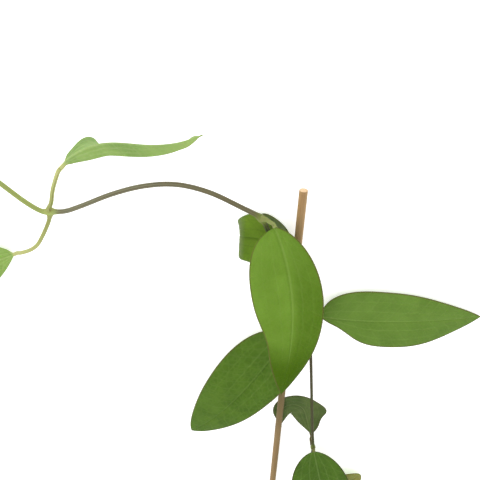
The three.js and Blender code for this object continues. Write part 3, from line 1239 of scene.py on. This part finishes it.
@dataclass
class Leaf(Part):
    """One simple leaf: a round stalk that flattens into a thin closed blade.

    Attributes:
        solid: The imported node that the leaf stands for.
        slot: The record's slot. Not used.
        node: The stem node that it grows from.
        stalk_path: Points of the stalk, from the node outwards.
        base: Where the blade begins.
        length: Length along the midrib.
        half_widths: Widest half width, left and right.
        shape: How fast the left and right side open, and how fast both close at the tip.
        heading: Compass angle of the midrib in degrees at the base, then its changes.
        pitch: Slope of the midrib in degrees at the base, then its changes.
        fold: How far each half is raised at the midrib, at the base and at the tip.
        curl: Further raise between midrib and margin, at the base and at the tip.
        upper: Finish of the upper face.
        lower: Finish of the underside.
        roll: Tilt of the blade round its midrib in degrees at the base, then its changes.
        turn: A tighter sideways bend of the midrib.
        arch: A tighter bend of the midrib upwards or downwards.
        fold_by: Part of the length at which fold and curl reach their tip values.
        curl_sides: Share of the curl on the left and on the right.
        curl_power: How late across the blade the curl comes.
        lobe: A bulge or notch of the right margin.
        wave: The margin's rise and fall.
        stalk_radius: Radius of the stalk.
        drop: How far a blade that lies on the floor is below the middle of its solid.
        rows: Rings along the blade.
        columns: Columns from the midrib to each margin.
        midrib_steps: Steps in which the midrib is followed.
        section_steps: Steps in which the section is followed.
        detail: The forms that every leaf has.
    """

    solid: str
    slot: Slot
    node: str
    stalk_path: list[Point]
    base: Point
    length: float
    half_widths: Pair
    shape: tuple[float, float, float]
    heading: tuple[float, ...]
    pitch: tuple[float, ...]
    fold: Pair
    curl: Pair
    upper: BladeFinish
    lower: BladeFinish
    roll: tuple[float, ...] = (0.0,)
    turn: Bend | None = None
    arch: Bend | None = None
    fold_by: float = 1.0
    curl_sides: Pair = (1.0, 1.0)
    curl_power: float = 1.0
    lobe: Lobe | None = None
    wave: Wave = Wave()
    stalk_radius: float = STALK_RADIUS
    drop: float = 0.0
    rows: int = 130
    columns: int = 30
    midrib_steps: int = 960
    section_steps: int = 24
    detail: LeafDetail = LeafDetail()

    @property
    def piece(self) -> str:
        """The piece's name."""
        return self.solid + "_blade"

    @property
    def finishes(self) -> tuple[BladeFinish, BladeFinish]:
        """The finishes of the upper and the lower face."""
        return self.upper, self.lower

    def directions(self, s: Array) -> tuple[Array, Array, Array]:
        """Turns the blade's three directions along its midrib.

        Args:
            s: Places along it, from 0 at the base to 1 at the tip.

        Returns:
            The directions along, across and out of the upper face.
        """
        heading = np.radians(series(self.heading, s) + (self.turn.at(s) if self.turn else 0))
        pitch = np.radians(series(self.pitch, s) + (self.arch.at(s) if self.arch else 0))
        roll = np.radians(series(self.roll, s))[:, None]
        level = np.cos(pitch)
        along = np.stack([level * np.cos(heading), level * np.sin(heading), np.sin(pitch)], -1)
        side = np.stack([np.sin(heading), -np.cos(heading), 0 * s], -1)
        up = np.cross(side, along)
        across = side * np.cos(roll) + up * np.sin(roll)
        return along, across, up * np.cos(roll) - side * np.sin(roll)

    def midrib(self, s: Array) -> Array:
        """Follows the midrib.

        Args:
            s: Places along it, in order.

        Returns:
            Its points.
        """
        fine = np.linspace(0, 1, self.midrib_steps + 1)
        along = self.directions((fine[1:] + fine[:-1]) / 2)[0]
        path = np.vstack([[0, 0, 0], np.cumsum(along * self.length / self.midrib_steps, axis=0)])
        return np.stack([np.interp(s, fine, line) for line in path.T], -1) + np.asarray(self.base)

    def half_width(self, s: Array, right: bool) -> Array:
        """Draws the outline of one side.

        Args:
            s: Places along the blade.
            right: Whether it is the right side.

        Returns:
            The half width in millimetres at each place.
        """
        opening, closing = self.shape[int(right)], self.shape[2]
        widest = opening / (opening + closing)
        even = (s**opening * (1 - s) ** closing) / (widest**opening * (1 - widest) ** closing)
        bulge = self.lobe.at(s) if right and self.lobe else 1.0
        return self.half_widths[int(right)] * even * bulge

    def section(self, s: Array, v: Array, radius: Array) -> tuple[Array, ...]:
        """Draws the blade's cross section.

        Args:
            s: Places along the blade.
            v: Places across it, from -1 at the left margin to 1 at the right.
            radius: Least half width, where the blade runs into the stalk.

        Returns:
            Offset across and up, the way the face looks across and up, and the half width.
        """
        width = np.where(v < 0, self.half_width(s, False), self.half_width(s, True))
        width = np.maximum(width, radius)
        settle = smooth((width - self.detail.tip_radius) / self.detail.settle)
        share = smooth(s / self.fold_by)
        fold = np.radians(between(self.fold, share)) * settle
        curl = np.radians(between(self.curl, share)) * np.where(v < 0, *self.curl_sides)
        side = np.abs(v)
        steps = (np.arange(self.section_steps) + 0.5) / self.section_steps
        slopes = fold[..., None] + curl[..., None] * (side[..., None] * steps) ** self.curl_power
        angle = (fold + curl * side**self.curl_power) * smooth(side / self.detail.crease)
        x = width * side * np.cos(slopes).mean(-1)
        z = width * side * np.sin(slopes).mean(-1)
        sign = np.where(v < 0, -1.0, 1.0)
        return sign * x, z, -sign * np.sin(angle), np.cos(angle), width

    def across_places(self) -> Array:
        """Spaces the columns across the blade, closer at the midrib and at the margins.

        Returns:
            Their places, from -1 to 1.
        """
        even = self.detail.even_part
        half = np.linspace(0, 1, self.columns)
        half = self.detail.last_column * (even * half + (1 - even) * half**2)
        half = np.concatenate([half, [1.0]])
        return np.concatenate([-half[:0:-1], half])

    def relief(self, s: Array, v: Array, width: Array) -> Array:
        """Shapes the veins.

        Args:
            s: Places along the blade.
            v: Places across it.
            width: The half width there.

        Returns:
            How strong the veins' relief is, from 0.
        """
        detail = self.detail
        vein = hump(np.abs(v) * width, detail.vein_reach) * (1 - detail.vein_fade * s)
        ending = smooth((1 - s) / detail.lateral_end)
        for place, strength in detail.laterals:
            offset = (np.abs(v) - place) * width
            vein = vein + strength * hump(offset, detail.lateral_reach) * ending
        return vein

    def blade_rings(self) -> tuple[Array, Values, Array, Array]:
        """Makes the rings of the blade from its base to its tip.

        Returns:
            The rings, their values, and the directions along and across at the base.
        """
        detail = self.detail
        line = 0.5 - 0.5 * np.cos(math.pi * np.linspace(0, 1, self.rows))
        s, v = np.meshgrid(line, self.across_places(), indexing="ij")
        points = self.midrib(line)
        along, across, normal = self.directions(line)
        radius = between((self.stalk_radius, detail.tip_radius), line)[:, None]
        x, z, look_x, look_z, width = self.section(s, v, radius)
        share = smooth((width.max(1, keepdims=True) - radius) / (detail.round_share * radius))
        lift = self.wave.at(s, v) - self.drop
        turn = np.radians(detail.round_turn * v)
        round_x, round_z = radius * np.sin(turn), radius * np.cos(turn)

        def placed(face: float, depth: Array) -> Array:
            """Places the points of one face.

            Args:
                face: 1 for the upper face and -1 for the lower.
                depth: Distance out of the middle of the blade.

            Returns:
                The points.
            """
            blade_x = x + face * depth * look_x
            blade_z = z + face * depth * look_z + lift
            px = round_x + (blade_x - round_x) * share
            pz = face * round_z + (blade_z - face * round_z) * share
            out = across[:, None] * px[..., None]
            return points[:, None] + out + normal[:, None] * pz[..., None]

        edge = np.sqrt(np.clip(1 - np.abs(v) ** detail.margin_power, 0, 1))
        half = detail.half_thickness * (detail.margin_part + (1 - detail.margin_part) * edge)
        vein = self.relief(s, v, width)
        below = half + detail.raised * vein * (detail.pressed if self.drop else 1.0)
        if not self.drop:
            rib = np.maximum(radius - detail.half_thickness, 0)
            below = below + rib * hump(np.abs(v) * width, detail.rib_reach)
        rings = wrapped(placed(1.0, half - detail.sunk * vein), placed(-1.0, below))
        painted = np.maximum(share, smooth((s - detail.painted[0]) / detail.painted[1]))
        blade = np.stack([v, width, painted], -1)
        flat = np.stack([v * width, s * self.length, s], -1)
        values = {"blade": wrapped(blade, blade), "flat": wrapped(flat, flat)}
        return rings, values, along[0], across[0]

    def stalk_rings(self, along: Array, across: Array) -> tuple[Array, Values]:
        """Makes the rings of the stalk from inside the stem node to the blade.

        Args:
            along: Direction of the midrib where the blade begins.
            across: Direction across the blade there.

        Returns:
            The rings and their values.
        """
        detail = self.detail
        start = np.asarray(NODES[self.node])
        inside = start + detail.seat * (np.asarray(self.stalk_path[0]) - start)
        lead = np.asarray(self.base) - detail.lead * along
        curve = Spline([tuple(inside), *self.stalk_path, tuple(lead), self.base])
        count = max(detail.least_rings, int(curve.length / detail.ring_step))
        distance = np.linspace(0, curve.length, count, endpoint=False)
        tangents = curve.tangents(distance)
        sideways = carry_across(np.vstack([along, tangents[::-1]]), across)[1:][::-1]
        v = self.across_places()
        turn = detail.round_turn * v
        turn = np.radians(np.concatenate([90 - turn, -90 - turn[::-1]]))
        flare = 1 + detail.flare[0] * hump(distance, detail.flare[1])
        groove = 1 - detail.groove[0] * hump(turn - math.pi / 2, detail.groove[1])
        radius = self.stalk_radius * flare[:, None] * groove[None]
        normals = np.cross(sideways, tangents)
        rings = tube(curve.at(distance), sideways, normals, radius, turn)
        ones = np.ones((count, len(turn)))
        away = (curve.length - distance)[:, None] * ones
        both = np.concatenate([v, v[::-1]])[None] * ones
        blade = np.stack([both, self.stalk_radius * ones, 0 * ones], -1)
        flat = np.stack([both * self.stalk_radius, -away, 0 * ones], -1)
        return rings, {"blade": blade, "flat": flat}

    def skin(self) -> Skin:
        """Joins stalk and blade, and keeps them above the floor.

        Returns:
            The leaf's skin.
        """
        blade, values, along, across = self.blade_rings()
        stalk, stalk_values = self.stalk_rings(along, across)
        rings = np.concatenate([stalk, blade])
        rings[..., 2] = np.maximum(rings[..., 2], LEAST_HEIGHT)
        joined = {label: np.concatenate([stalk_values[label], values[label]]) for label in values}
        turn = np.linspace(0, TURN, rings.shape[1], endpoint=False)
        spread = self.stalk_radius * np.stack([np.cos(turn), np.sin(turn), 0 * turn], -1)
        joined["straight"] = spread[None] + joined["flat"][..., 1:2] * np.array([0, 0, 1.0])
        strips = np.repeat([Face.UPPER.value, Face.LOWER.value], rings.shape[1] // 2)
        return Skin(rings, joined, strips)


@dataclass
class Stem(Part):
    """The vine stem: ribbed, swollen at its nodes, cut at the foot and ending in a bud.

    Attributes:
        foot_radius: Radius from the foot to the middle node.
        radius: Radius from the crown onwards.
        node_swell: What a node adds to it, over node_reach to each side.
        tint_reach: How far to each side a node is lighter.
        bud_length: Length of the bud, which adds bud_swell and closes to end_part.
        ribs: Number of ribs, each rib_depth of the radius deep and turned by rib_twist.
        step: Spacing of the rings.
    """

    piece: str = "vine"
    solid: str = "vine_stem"
    slot: Slot = Slot.STEM
    finishes: tuple[Finish, ...] = (StemFinish(),)
    foot_radius: float = 0.85
    radius: float = 1.15
    node_swell: float = 0.75
    node_reach: float = 2.2
    tint_reach: float = 3.0
    bud_length: float = 9.0
    bud_swell: float = 0.6
    end_part: float = 0.05
    ribs: int = 6
    rib_depth: float = 0.055
    rib_twist: float = 0.004
    sides: int = 48
    step: float = 0.8
    samples: int = 9000

    def radius_at(self, distance: Array, length: float, nodes: Array) -> tuple[Array, Array]:
        """Swells the stem at its nodes and its bud.

        Args:
            distance: Distances along the stem.
            length: The stem's length.
            nodes: Distances of its nodes.

        Returns:
            The radius, and the share of node swelling.
        """
        swell = hump(distance[:, None] - nodes, self.node_reach).sum(1)
        left = length - distance
        bud = self.bud_swell * np.sin(math.pi * left / self.bud_length)
        bud = np.where(left < self.bud_length, bud, 0)
        closing = np.sqrt(np.maximum(left, 0) / (self.bud_length / 2))
        close = np.minimum(1, self.end_part + (1 - self.end_part) * closing)
        middle, crown = nodes[1:3]
        growth = smooth((distance - middle) / (crown - middle))
        plain = between((self.foot_radius, self.radius), growth)
        return (plain + self.node_swell * swell + bud) * close, swell

    def skin(self) -> Skin:
        """Sweeps the ribbed section along the stem's route.

        Returns:
            The stem's skin.
        """
        curve = Spline(STEM_ROUTE, self.samples)
        nodes = np.array([curve.nearest(point) for point in NODES.values()])
        distance = np.linspace(0, curve.length, int(curve.length / self.step))
        tangents = curve.tangents(distance)
        across = carry_across(tangents, np.array([0.0, 0.0, 1.0]))
        radius, swell = self.radius_at(distance, curve.length, nodes)
        turn = np.linspace(0, TURN, self.sides, endpoint=False)
        rib = np.cos(self.ribs * (turn[None] + self.rib_twist * distance[:, None]))
        near = np.minimum(swell, 1)[:, None]
        size = radius[:, None] * (1 - self.rib_depth * (1 - near) * (0.5 - 0.5 * rib))
        rings = tube(curve.at(distance), across, np.cross(across, tangents), size, turn)
        ones = np.ones_like(size)
        age = (distance / curve.length)[:, None] * ones
        tint = hump(distance[:, None] - nodes, self.tint_reach).sum(1)[:, None] * ones
        straight = [np.cos(turn) * ones, np.sin(turn) * ones, distance[:, None] * ones]
        values = {
            "stem": np.stack([age, np.minimum(tint, 1), (0.5 + 0.5 * rib) * ones], -1),
            "straight": np.stack(straight, -1),
        }
        return Skin(rings, values, np.zeros(self.sides, int))


@dataclass
class Cane(Part):
    """The split cane: a straight round rod with shallow fibres and square cut ends.

    Attributes:
        fibre_depth: Depth of the fibres.
        fibre_counts: How many of them go round in each of their sizes.
        fibre_strengths: Least and greatest strength of a size.
        fibre_drift: How far they wander round the cane.
        fibre_turns: How often they do so along it.
        chamfer: Width of the worn edge at each end.
    """

    piece: str = "split_cane"
    solid: str = "cane"
    slot: Slot = Slot.CANE
    finishes: tuple[Finish, ...] = (CaneFinish(),)
    sides: int = 64
    rows: int = 120
    fibre_depth: float = 0.045
    fibre_counts: tuple[int, ...] = (3, 5, 8, 13, 21)
    fibre_strengths: Pair = (0.3, 1.0)
    fibre_drift: float = 2
    fibre_turns: float = 3
    chamfer: float = 0.12

    def fibres(self, turn: Array, share: Array) -> Array:
        """Wears fibres into the side.

        Args:
            turn: Angles round the cane.
            share: Places along it, from 0 to 1.

        Returns:
            How deep each point lies, from -1 to 1.
        """
        chance = np.random.default_rng(SEED)
        wear = np.zeros((len(share), self.sides))
        for count in self.fibre_counts:
            phase, drift = chance.uniform(0, TURN, 2)
            strength = chance.uniform(*self.fibre_strengths) / math.sqrt(count)
            wander = self.fibre_drift * np.sin(drift + self.fibre_turns * share[:, None])
            wear += strength * np.sin(count * turn[None] + phase + wander)
        return wear / np.abs(wear).max()

    def skin(self) -> Skin:
        """Shapes the rod, with a ring inside each cut end.

        Returns:
            The cane's skin.
        """
        length = CANE_TOP_Y - CANE_FOOT_Y
        near_end = np.array([0.0, self.chamfer / length])
        steps = np.linspace(0, 1, self.rows)[1:-1]
        share = np.concatenate([near_end, steps, 1 - near_end[::-1]])
        turn = np.linspace(0, TURN, self.sides, endpoint=False)
        radius = CANE_DIAMETER / 2 - self.fibre_depth * (1 + self.fibres(turn, share)) / 2
        radius[[0, -1]] -= self.chamfer
        slope = math.atan(CANE_RISE)
        base = np.array([CANE_LINE_X, CANE_FOOT_Y, CANE_DIAMETER / 2])
        middle = base + share[:, None] * np.array([0, length, length * CANE_RISE])
        up = np.array([[0, -math.sin(slope), math.cos(slope)]])
        rings = tube(middle, np.array([[1.0, 0, 0]]), up, radius, turn)
        inner = rings[[0, -1]] * 0.5 + middle[[0, -1]][:, None] * 0.5
        rings = np.concatenate([inner[:1], rings, inner[1:]])
        share = np.concatenate([[0.0], share, [1.0]])
        radius = np.concatenate([radius[:1] * 0.5, radius, radius[-1:] * 0.5])
        ones = np.ones_like(radius)
        end = np.zeros(len(share))
        end[[0, 1, -2, -1]] = 1
        straight = [radius * np.cos(turn), radius * np.sin(turn), length * share[:, None] * ones]
        values = {
            "cane": np.stack([end[:, None] * ones, share[:, None] * ones, 0 * ones], -1),
            "straight": np.stack(straight, -1),
        }
        return Skin(rings, values, np.zeros(self.sides, int))


# ---------------------------------------------------------------- the leaves of this shoot

GREEN_UPPER = BladeFinish(
    name="green_upper", light=(92, 124, 38), dark=(76, 107, 26), far=(62, 92, 10),
    vein=(122, 150, 70), margin=(90, 80, 42), stalk=(136, 150, 76), stalk_foot=(112, 112, 66),
)
# The front leaf is painted with shade: its tip, where it curls away from the light, its side turned
# from the light, and its midrib groove.
FRONT_UPPER = replace(
    GREEN_UPPER, name="front_upper", light=(107, 140, 49), dark=(97, 129, 40), far=(60, 89, 0),
    stalk=(138, 146, 90), stalk_foot=(124, 130, 76), far_from=0.66, far_reach=0.18,
    far_share=0.95, shade_side=-1.0, side_shade_share=0.55, groove_shade_side=1.0, groove_shade_share=0.15,
    vein_share=0.42, vein_width=0.85, lateral_share=0.14, network_share=0.06, gloss=0.04,
)
CURLED_UPPER = replace(
    GREEN_UPPER, name="curled_upper", light=(112, 142, 40), dark=(92, 122, 28), far=(72, 98, 14),
    vein=(70, 96, 16), network_share=0.04, margin=(104, 118, 76), margin_share=0.7,
    rim_at=0.49, rim_width=0.14,
)
# This blade has painted shade on its side turned from the light and in its groove.
RIGHT_UPPER = replace(
    GREEN_UPPER, name="right_upper", light=(98, 129, 48), dark=(88, 118, 40), side_shade_share=0.2,
    groove_shade_side=1.0, groove_shade_share=0.2, vein_share=0.42, margin_share=0.8,
)
LEFT_UPPER = replace(
    GREEN_UPPER, name="left_upper", light=(74, 105, 20), dark=(64, 94, 14), far=(48, 74, 8),
    vein=(108, 136, 62), vein_share=0.26, lateral_share=0.2, network_share=0.14,
    network_size=3.2,
)
LOW_UPPER = replace(
    GREEN_UPPER, name="low_upper", light=(74, 105, 24), dark=(60, 89, 17), far=(46, 68, 14),
    vein=(104, 130, 64), margin=(58, 54, 24), stalk=(112, 114, 64), stalk_foot=(80, 72, 42),
    groove_shade_share=0.2, lateral_share=0.32, margin_share=0.85,
)
GREEN_LOWER = BladeFinish(
    name="green_lower", light=(128, 146, 96), dark=(108, 128, 78), far=(96, 116, 66),
    vein=(152, 164, 116), margin=(104, 98, 60), stalk=(136, 150, 76), stalk_foot=(112, 112, 66),
    relief=0.16, roughness=0.6, groove_shade_share=0.0,
)
YOUNG_UPPER = BladeFinish(
    name="young_upper", light=(132, 162, 80), dark=(114, 144, 68), far=(118, 148, 66),
    vein=(164, 186, 114), margin=(126, 122, 62), stalk=(180, 182, 120), stalk_foot=(144, 148, 88),
    stalk_run=-34.0, margin_share=0.5, margin_width=0.3, vein_share=0.4, roughness=0.44,
)
YOUNG_LOWER = BladeFinish(
    name="young_lower", light=(134, 162, 88), dark=(116, 146, 76), far=(148, 172, 98),
    vein=(166, 186, 122), margin=(130, 124, 70), stalk=(180, 182, 120), stalk_foot=(144, 148, 88),
    far_reach=0.25, far_share=0.8, stalk_run=-34.0, margin_share=0.5, margin_width=0.3,
    groove_shade_share=0.0, relief=0.12, roughness=0.5,
)
SIDE_UPPER = replace(
    YOUNG_UPPER, name="side_upper", light=(142, 140, 66), dark=(124, 122, 54),
    margin=(98, 82, 44), margin_share=0.85, margin_width=0.9,
)
SHADED_UPPER = BladeFinish(
    name="shaded_upper", light=(86, 102, 54), dark=(66, 86, 38), far=(54, 70, 28),
    vein=(104, 116, 70), margin=(74, 66, 42), stalk=(94, 88, 54), stalk_foot=(84, 74, 44),
    margin_width=0.9, roughness=0.55,
)


def leaves() -> list[Leaf]:
    """Describes the eleven leaves, from the crown to the foot and then the growing tip.

    Returns:
        The leaves.
    """
    green = {"slot": Slot.LEAF, "lower": GREEN_LOWER}
    young = {"slot": Slot.YOUNG_LEAF, "upper": YOUNG_UPPER, "lower": YOUNG_LOWER}
    small = {**young, "stalk_radius": YOUNG_STALK_RADIUS, "rows": 90, "columns": 20}
    return [
        Leaf(
            solid="leaf_a_front", node="crown", upper=FRONT_UPPER, **green,
            stalk_path=[(10.3, 21.3, 14.9), (11.8, 20.9, 15.7), (13.4, 20.0, 16.3)],
            stalk_radius=STOUT_STALK_RADIUS, base=(15.1, 17.9, 16.7), length=96.3,
            half_widths=(14.4, 18.6), shape=(0.7, 0.44, 1.06), lobe=Lobe(-0.145, 0.62, 0.14),
            heading=(-61, -77, 45), pitch=(32, -44), fold=(10, 6), curl=(-16, -30),
            wave=Wave(0.5, 1.7, 0.2),
        ),
        Leaf(
            solid="leaf_a_back", node="crown", upper=CURLED_UPPER, **green,
            stalk_path=[(10.2, 18, 9.85), (13.6, 10.4, 8.6), (18.4, 3.6, 7.4), (22.6, 0.6, 6.6)],
            base=(19.7, 1.0, 6.0), length=50, half_widths=(13.8, 16.3), shape=(0.3, 0.55, 1.0),
            heading=(160, 0, 0, 0, 0, 0, -80), turn=Bend(22, 0.24, 0.2), pitch=(-3,),
            arch=Bend(-178, 0.43, 0.075), fold=(2, 4), fold_by=0.6, curl=(145, -10),
            curl_sides=(0.05, 1.0), curl_power=5.5, lobe=Lobe(-0.88, 0.5, 0.1), columns=44,
            wave=Wave(0.3, 1.4, 0.1),
        ),
        Leaf(
            solid="leaf_b_right", node="middle", upper=RIGHT_UPPER, **green,
            stalk_path=[(36.5, -38.8, 8.1), (38.6, -40.4, 7.2)],
            base=(43.8, -43.4, 5.6), length=88, half_widths=(17.5, 16), shape=(0.42, 0.8, 0.96),
            heading=(-2, 11, -13), pitch=(8, -22), roll=(14, -4), fold=(8, 6), curl=(-12, -18),
            lobe=Lobe(-0.4, 0.08, 0.12), wave=Wave(0.5, 2.1, 0.55),
        ),
        Leaf(
            solid="leaf_b_left", node="middle", upper=LEFT_UPPER, **green,
            stalk_path=[(31.2, -38.7, 8.0), *Twine().points(), (28.3, -50.2, 9.0)],
            base=(26.8, -53.2, 9.9), length=102, half_widths=(17, 21), shape=(0.3, 0.4, 0.7),
            heading=(240, 8, -17), pitch=(10, -26), roll=(-12, -2), fold=(8, 6), curl=(-12, -22),
            wave=Wave(0.4, 2.0, 0.9),
        ),
        Leaf(
            solid="leaf_c_upper", node="outer", **young,
            stalk_path=[
                (-87.4, 20.4, 7.9), (-85.7, 23.8, 9.0), (-83.6, 30.4, 10.6),
                (-80.9, 36.6, 12.5), (-79.1, 40.3, 13.7),
            ],
            stalk_radius=STOUT_STALK_RADIUS, base=(-76.8, 43.5, 14.7), length=64.5,
            half_widths=(6.8, 8.5), shape=(1.0, 0.9, 1.08), lobe=Lobe(1.2, 0.205, 0.055),
            heading=(46, -10, 55), turn=Bend(-62, 0.3, 0.3), pitch=(2, -2), roll=(233,),
            fold=(-8, 70), fold_by=0.38, curl=(0, 0), wave=Wave(0.15),
        ),
        Leaf(
            solid="leaf_c_lower", node="outer", **young,
            stalk_path=[
                (-88.5, 15.0, 6.7), (-89.6, 11.9, 6.4), (-92, 7.1, 5.8), (-94.7, 2.3, 5.2),
                (-98.1, -2.8, 4.7), (-102.2, -6.0, 4.4), (-106.9, -7.9, 4.1),
            ],
            stalk_radius=STOUT_STALK_RADIUS, base=(-110.4, -9.0, 3.8), length=60,
            half_widths=(13, 14), shape=(1.0, 0.65, 0.9), heading=(202, 8), pitch=(6, -18),
            fold=(10, 8), curl=(-12, -20), wave=Wave(0.4, 2.2, 0.3),
        ),
        Leaf(
            solid="leaf_d_front", node="low", upper=LOW_UPPER, **green,
            stalk_path=[(50.4, -148.2, 10.7)],
            base=(50.1, -147.0, 12.7), length=76, half_widths=(18, 19), shape=(0.59, 0.56, 0.9),
            heading=(-75,), pitch=(26, -40), fold=(8, 6), curl=(-12, -22),
            wave=Wave(0.5, 2.2, 0.7),
        ),
        Leaf(
            solid="leaf_d_back", node="low", slot=Slot.SHADED_LEAF,
            upper=SHADED_UPPER, lower=GREEN_LOWER,
            stalk_path=[(49.7, -149.2, 5.6), (49.4, -149.1, 3.6), (49.3, -148.4, 2.0)],
            base=(49.3, -145.8, 0.97), length=55, half_widths=(9, 9.4), shape=(1.2, 0.78, 1.15),
            heading=(105,), turn=Bend(170, 0.6, 0.27), pitch=(-10,), arch=Bend(10, 0.07, 0.07),
            fold=(0, 0), fold_by=0.5, curl=(40, 0), curl_sides=(0, 1),
            lobe=Lobe(0.42, 0.362, 0.075), wave=Wave(0.0), drop=0.1,
        ),
        Leaf(
            solid="side_leaf", node="low", **{**small, "upper": SIDE_UPPER},
            stalk_path=[(51.2, -151.9, 6.0), (54, -162, 5.6), (60, -185, 4.8), (65, -202, 4)],
            base=(70, -204, 3.6), length=26.5, half_widths=(9, 9), shape=(0.5, 0.5, 0.6),
            heading=(62, -20), pitch=(2, -4), fold=(8, 6), curl=(-10, -10), wave=Wave(0.3),
        ),
        Leaf(
            solid="tip_leaf_left", node="end", **small,
            stalk_path=[(-129.3, 45.2, 4.8)],
            base=(-132, 44, 4.4), length=38, half_widths=(8, 8), shape=(0.6, 0.6, 1.0),
            heading=(200, 10), pitch=(4, -18), fold=(20, 14), curl=(-12, -14), wave=Wave(0.3),
        ),
        Leaf(
            solid="tip_leaf_right", node="end", **small,
            stalk_path=[(-125.8, 49.1, 5)],
            base=(-125, 52.0, 5), length=34, half_widths=(7, 7), shape=(0.6, 0.6, 1.0),
            heading=(86, 14), pitch=(10, -24), fold=(24, 16), curl=(-12, -14),
            wave=Wave(0.3, 2.0, 0.4),
        ),
    ]


# ---------------------------------------------------------------- camera, light and floor


@dataclass(frozen=True)
class PhotoCamera:
    """The camera, given by the focal length in pixels and its place over the plant's frame."""

    focal: float = 540.0
    picture: float = 480.0
    tilt: float = 33.0
    swing: float = 1.66
    distance: float = 265.0
    sensor: float = 36.0
    nearest: float = 0.01

    def build(self, placement: Placement) -> Object:
        """Makes the camera and sets it as the scene's.

        Args:
            placement: Where the plant's frame lies.

        Returns:
            The camera.
        """
        tilt = math.radians(self.tilt)
        turned = Matrix.Rotation(math.radians(self.swing), 3, "Z")
        right = turned @ Vector((1, 0, 0))
        up = turned @ Vector((0, math.cos(tilt), -math.sin(tilt)))
        back = turned @ Vector((0, math.sin(tilt), math.cos(tilt)))
        data = bpy.data.cameras.new("photo_camera")
        data.sensor_width = self.sensor
        data.lens = self.focal / self.picture * self.sensor
        data.clip_start = self.nearest
        camera = bpy.data.objects.new("photo_camera", data)
        axes = Matrix((right, up, back)).transposed().to_4x4()
        place = Vector(placement.to_metres(np.array(back) * self.distance))
        camera.matrix_world = Matrix.Translation(place) @ axes
        bpy.context.scene.collection.objects.link(camera)
        bpy.context.scene.camera = camera
        return camera


@dataclass(frozen=True)
class Lamp:
    """One square studio lamp that looks at a point."""

    name: str
    place: Point
    size: float
    power: float
    target: Point = (0.0, 0.0, 0.0)

    def build(self) -> Object:
        """Makes the lamp.

        Returns:
            The lamp.
        """
        data = bpy.data.lights.new(self.name, "AREA")
        data.shape = "SQUARE"
        data.size = self.size
        data.energy = self.power
        lamp = bpy.data.objects.new(self.name, data)
        lamp.location = self.place
        aim = Vector(self.target) - Vector(self.place)
        lamp.rotation_euler = aim.to_track_quat("-Z", "Y").to_euler()
        bpy.context.scene.collection.objects.link(lamp)
        return lamp


@dataclass(frozen=True)
class Studio:
    """A white floor under soft light from all sides, with a key lamp and a fill lamp."""

    sky: float = 0.92
    floor_side: float = 6.0
    floor_finish: FloorFinish = FloorFinish()
    lamps: tuple[Lamp, ...] = (
        Lamp("key_lamp", (-0.45, 0.35, 0.95), size=0.8, power=5.0),
        Lamp("fill_lamp", (0.8, -0.5, 0.8), size=0.9, power=2.0),
    )

    def build(self, effects: Effects) -> None:
        """Makes sky, lamps and floor.

        Args:
            effects: The shared effects.
        """
        world = bpy.data.worlds.new("soft_sky")
        world.use_nodes = True
        sky = world.node_tree.nodes["Background"]
        sky.inputs["Color"].default_value = WHITE
        sky.inputs["Strength"].default_value = self.sky
        bpy.context.scene.world = world
        for lamp in self.lamps:
            lamp.build()
        half = self.floor_side / 2
        mesh = bpy.data.meshes.new("floor")
        corners = [(-half, -half, 0), (half, -half, 0), (half, half, 0), (-half, half, 0)]
        mesh.from_pydata(corners, [], [(0, 1, 2, 3)])
        mesh.materials.append(self.floor_finish.build(effects))
        floor = bpy.data.objects.new("floor", mesh)
        bpy.context.scene.collection.objects.link(floor)
        bpy.context.scene.view_settings.view_transform = "Standard"


def plain(box: tuple[Vector, Vector]) -> list[list[float]]:
    """Returns a box's two corners as plain lists."""
    return [[round(value, SIZE_DIGITS) for value in corner] for corner in box]


def main() -> None:
    """Builds the shoot, its cane and the studio."""
    logging.basicConfig(level=logging.INFO, format="%(name)s: %(message)s")
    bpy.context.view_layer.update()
    placement = Placement.over_cane()
    effects = Effects()
    camera = PhotoCamera().build(placement)
    LOG.info("camera at %s", [round(value, 4) for value in camera.location])
    for part in (Cane(), Stem(), *leaves()):
        piece = part.build(effects, placement)
        LOG.info("%s: %d faces", piece.name, len(piece.data.polygons))
    Studio().build(effects)


if __name__ == "__main__":
    main()
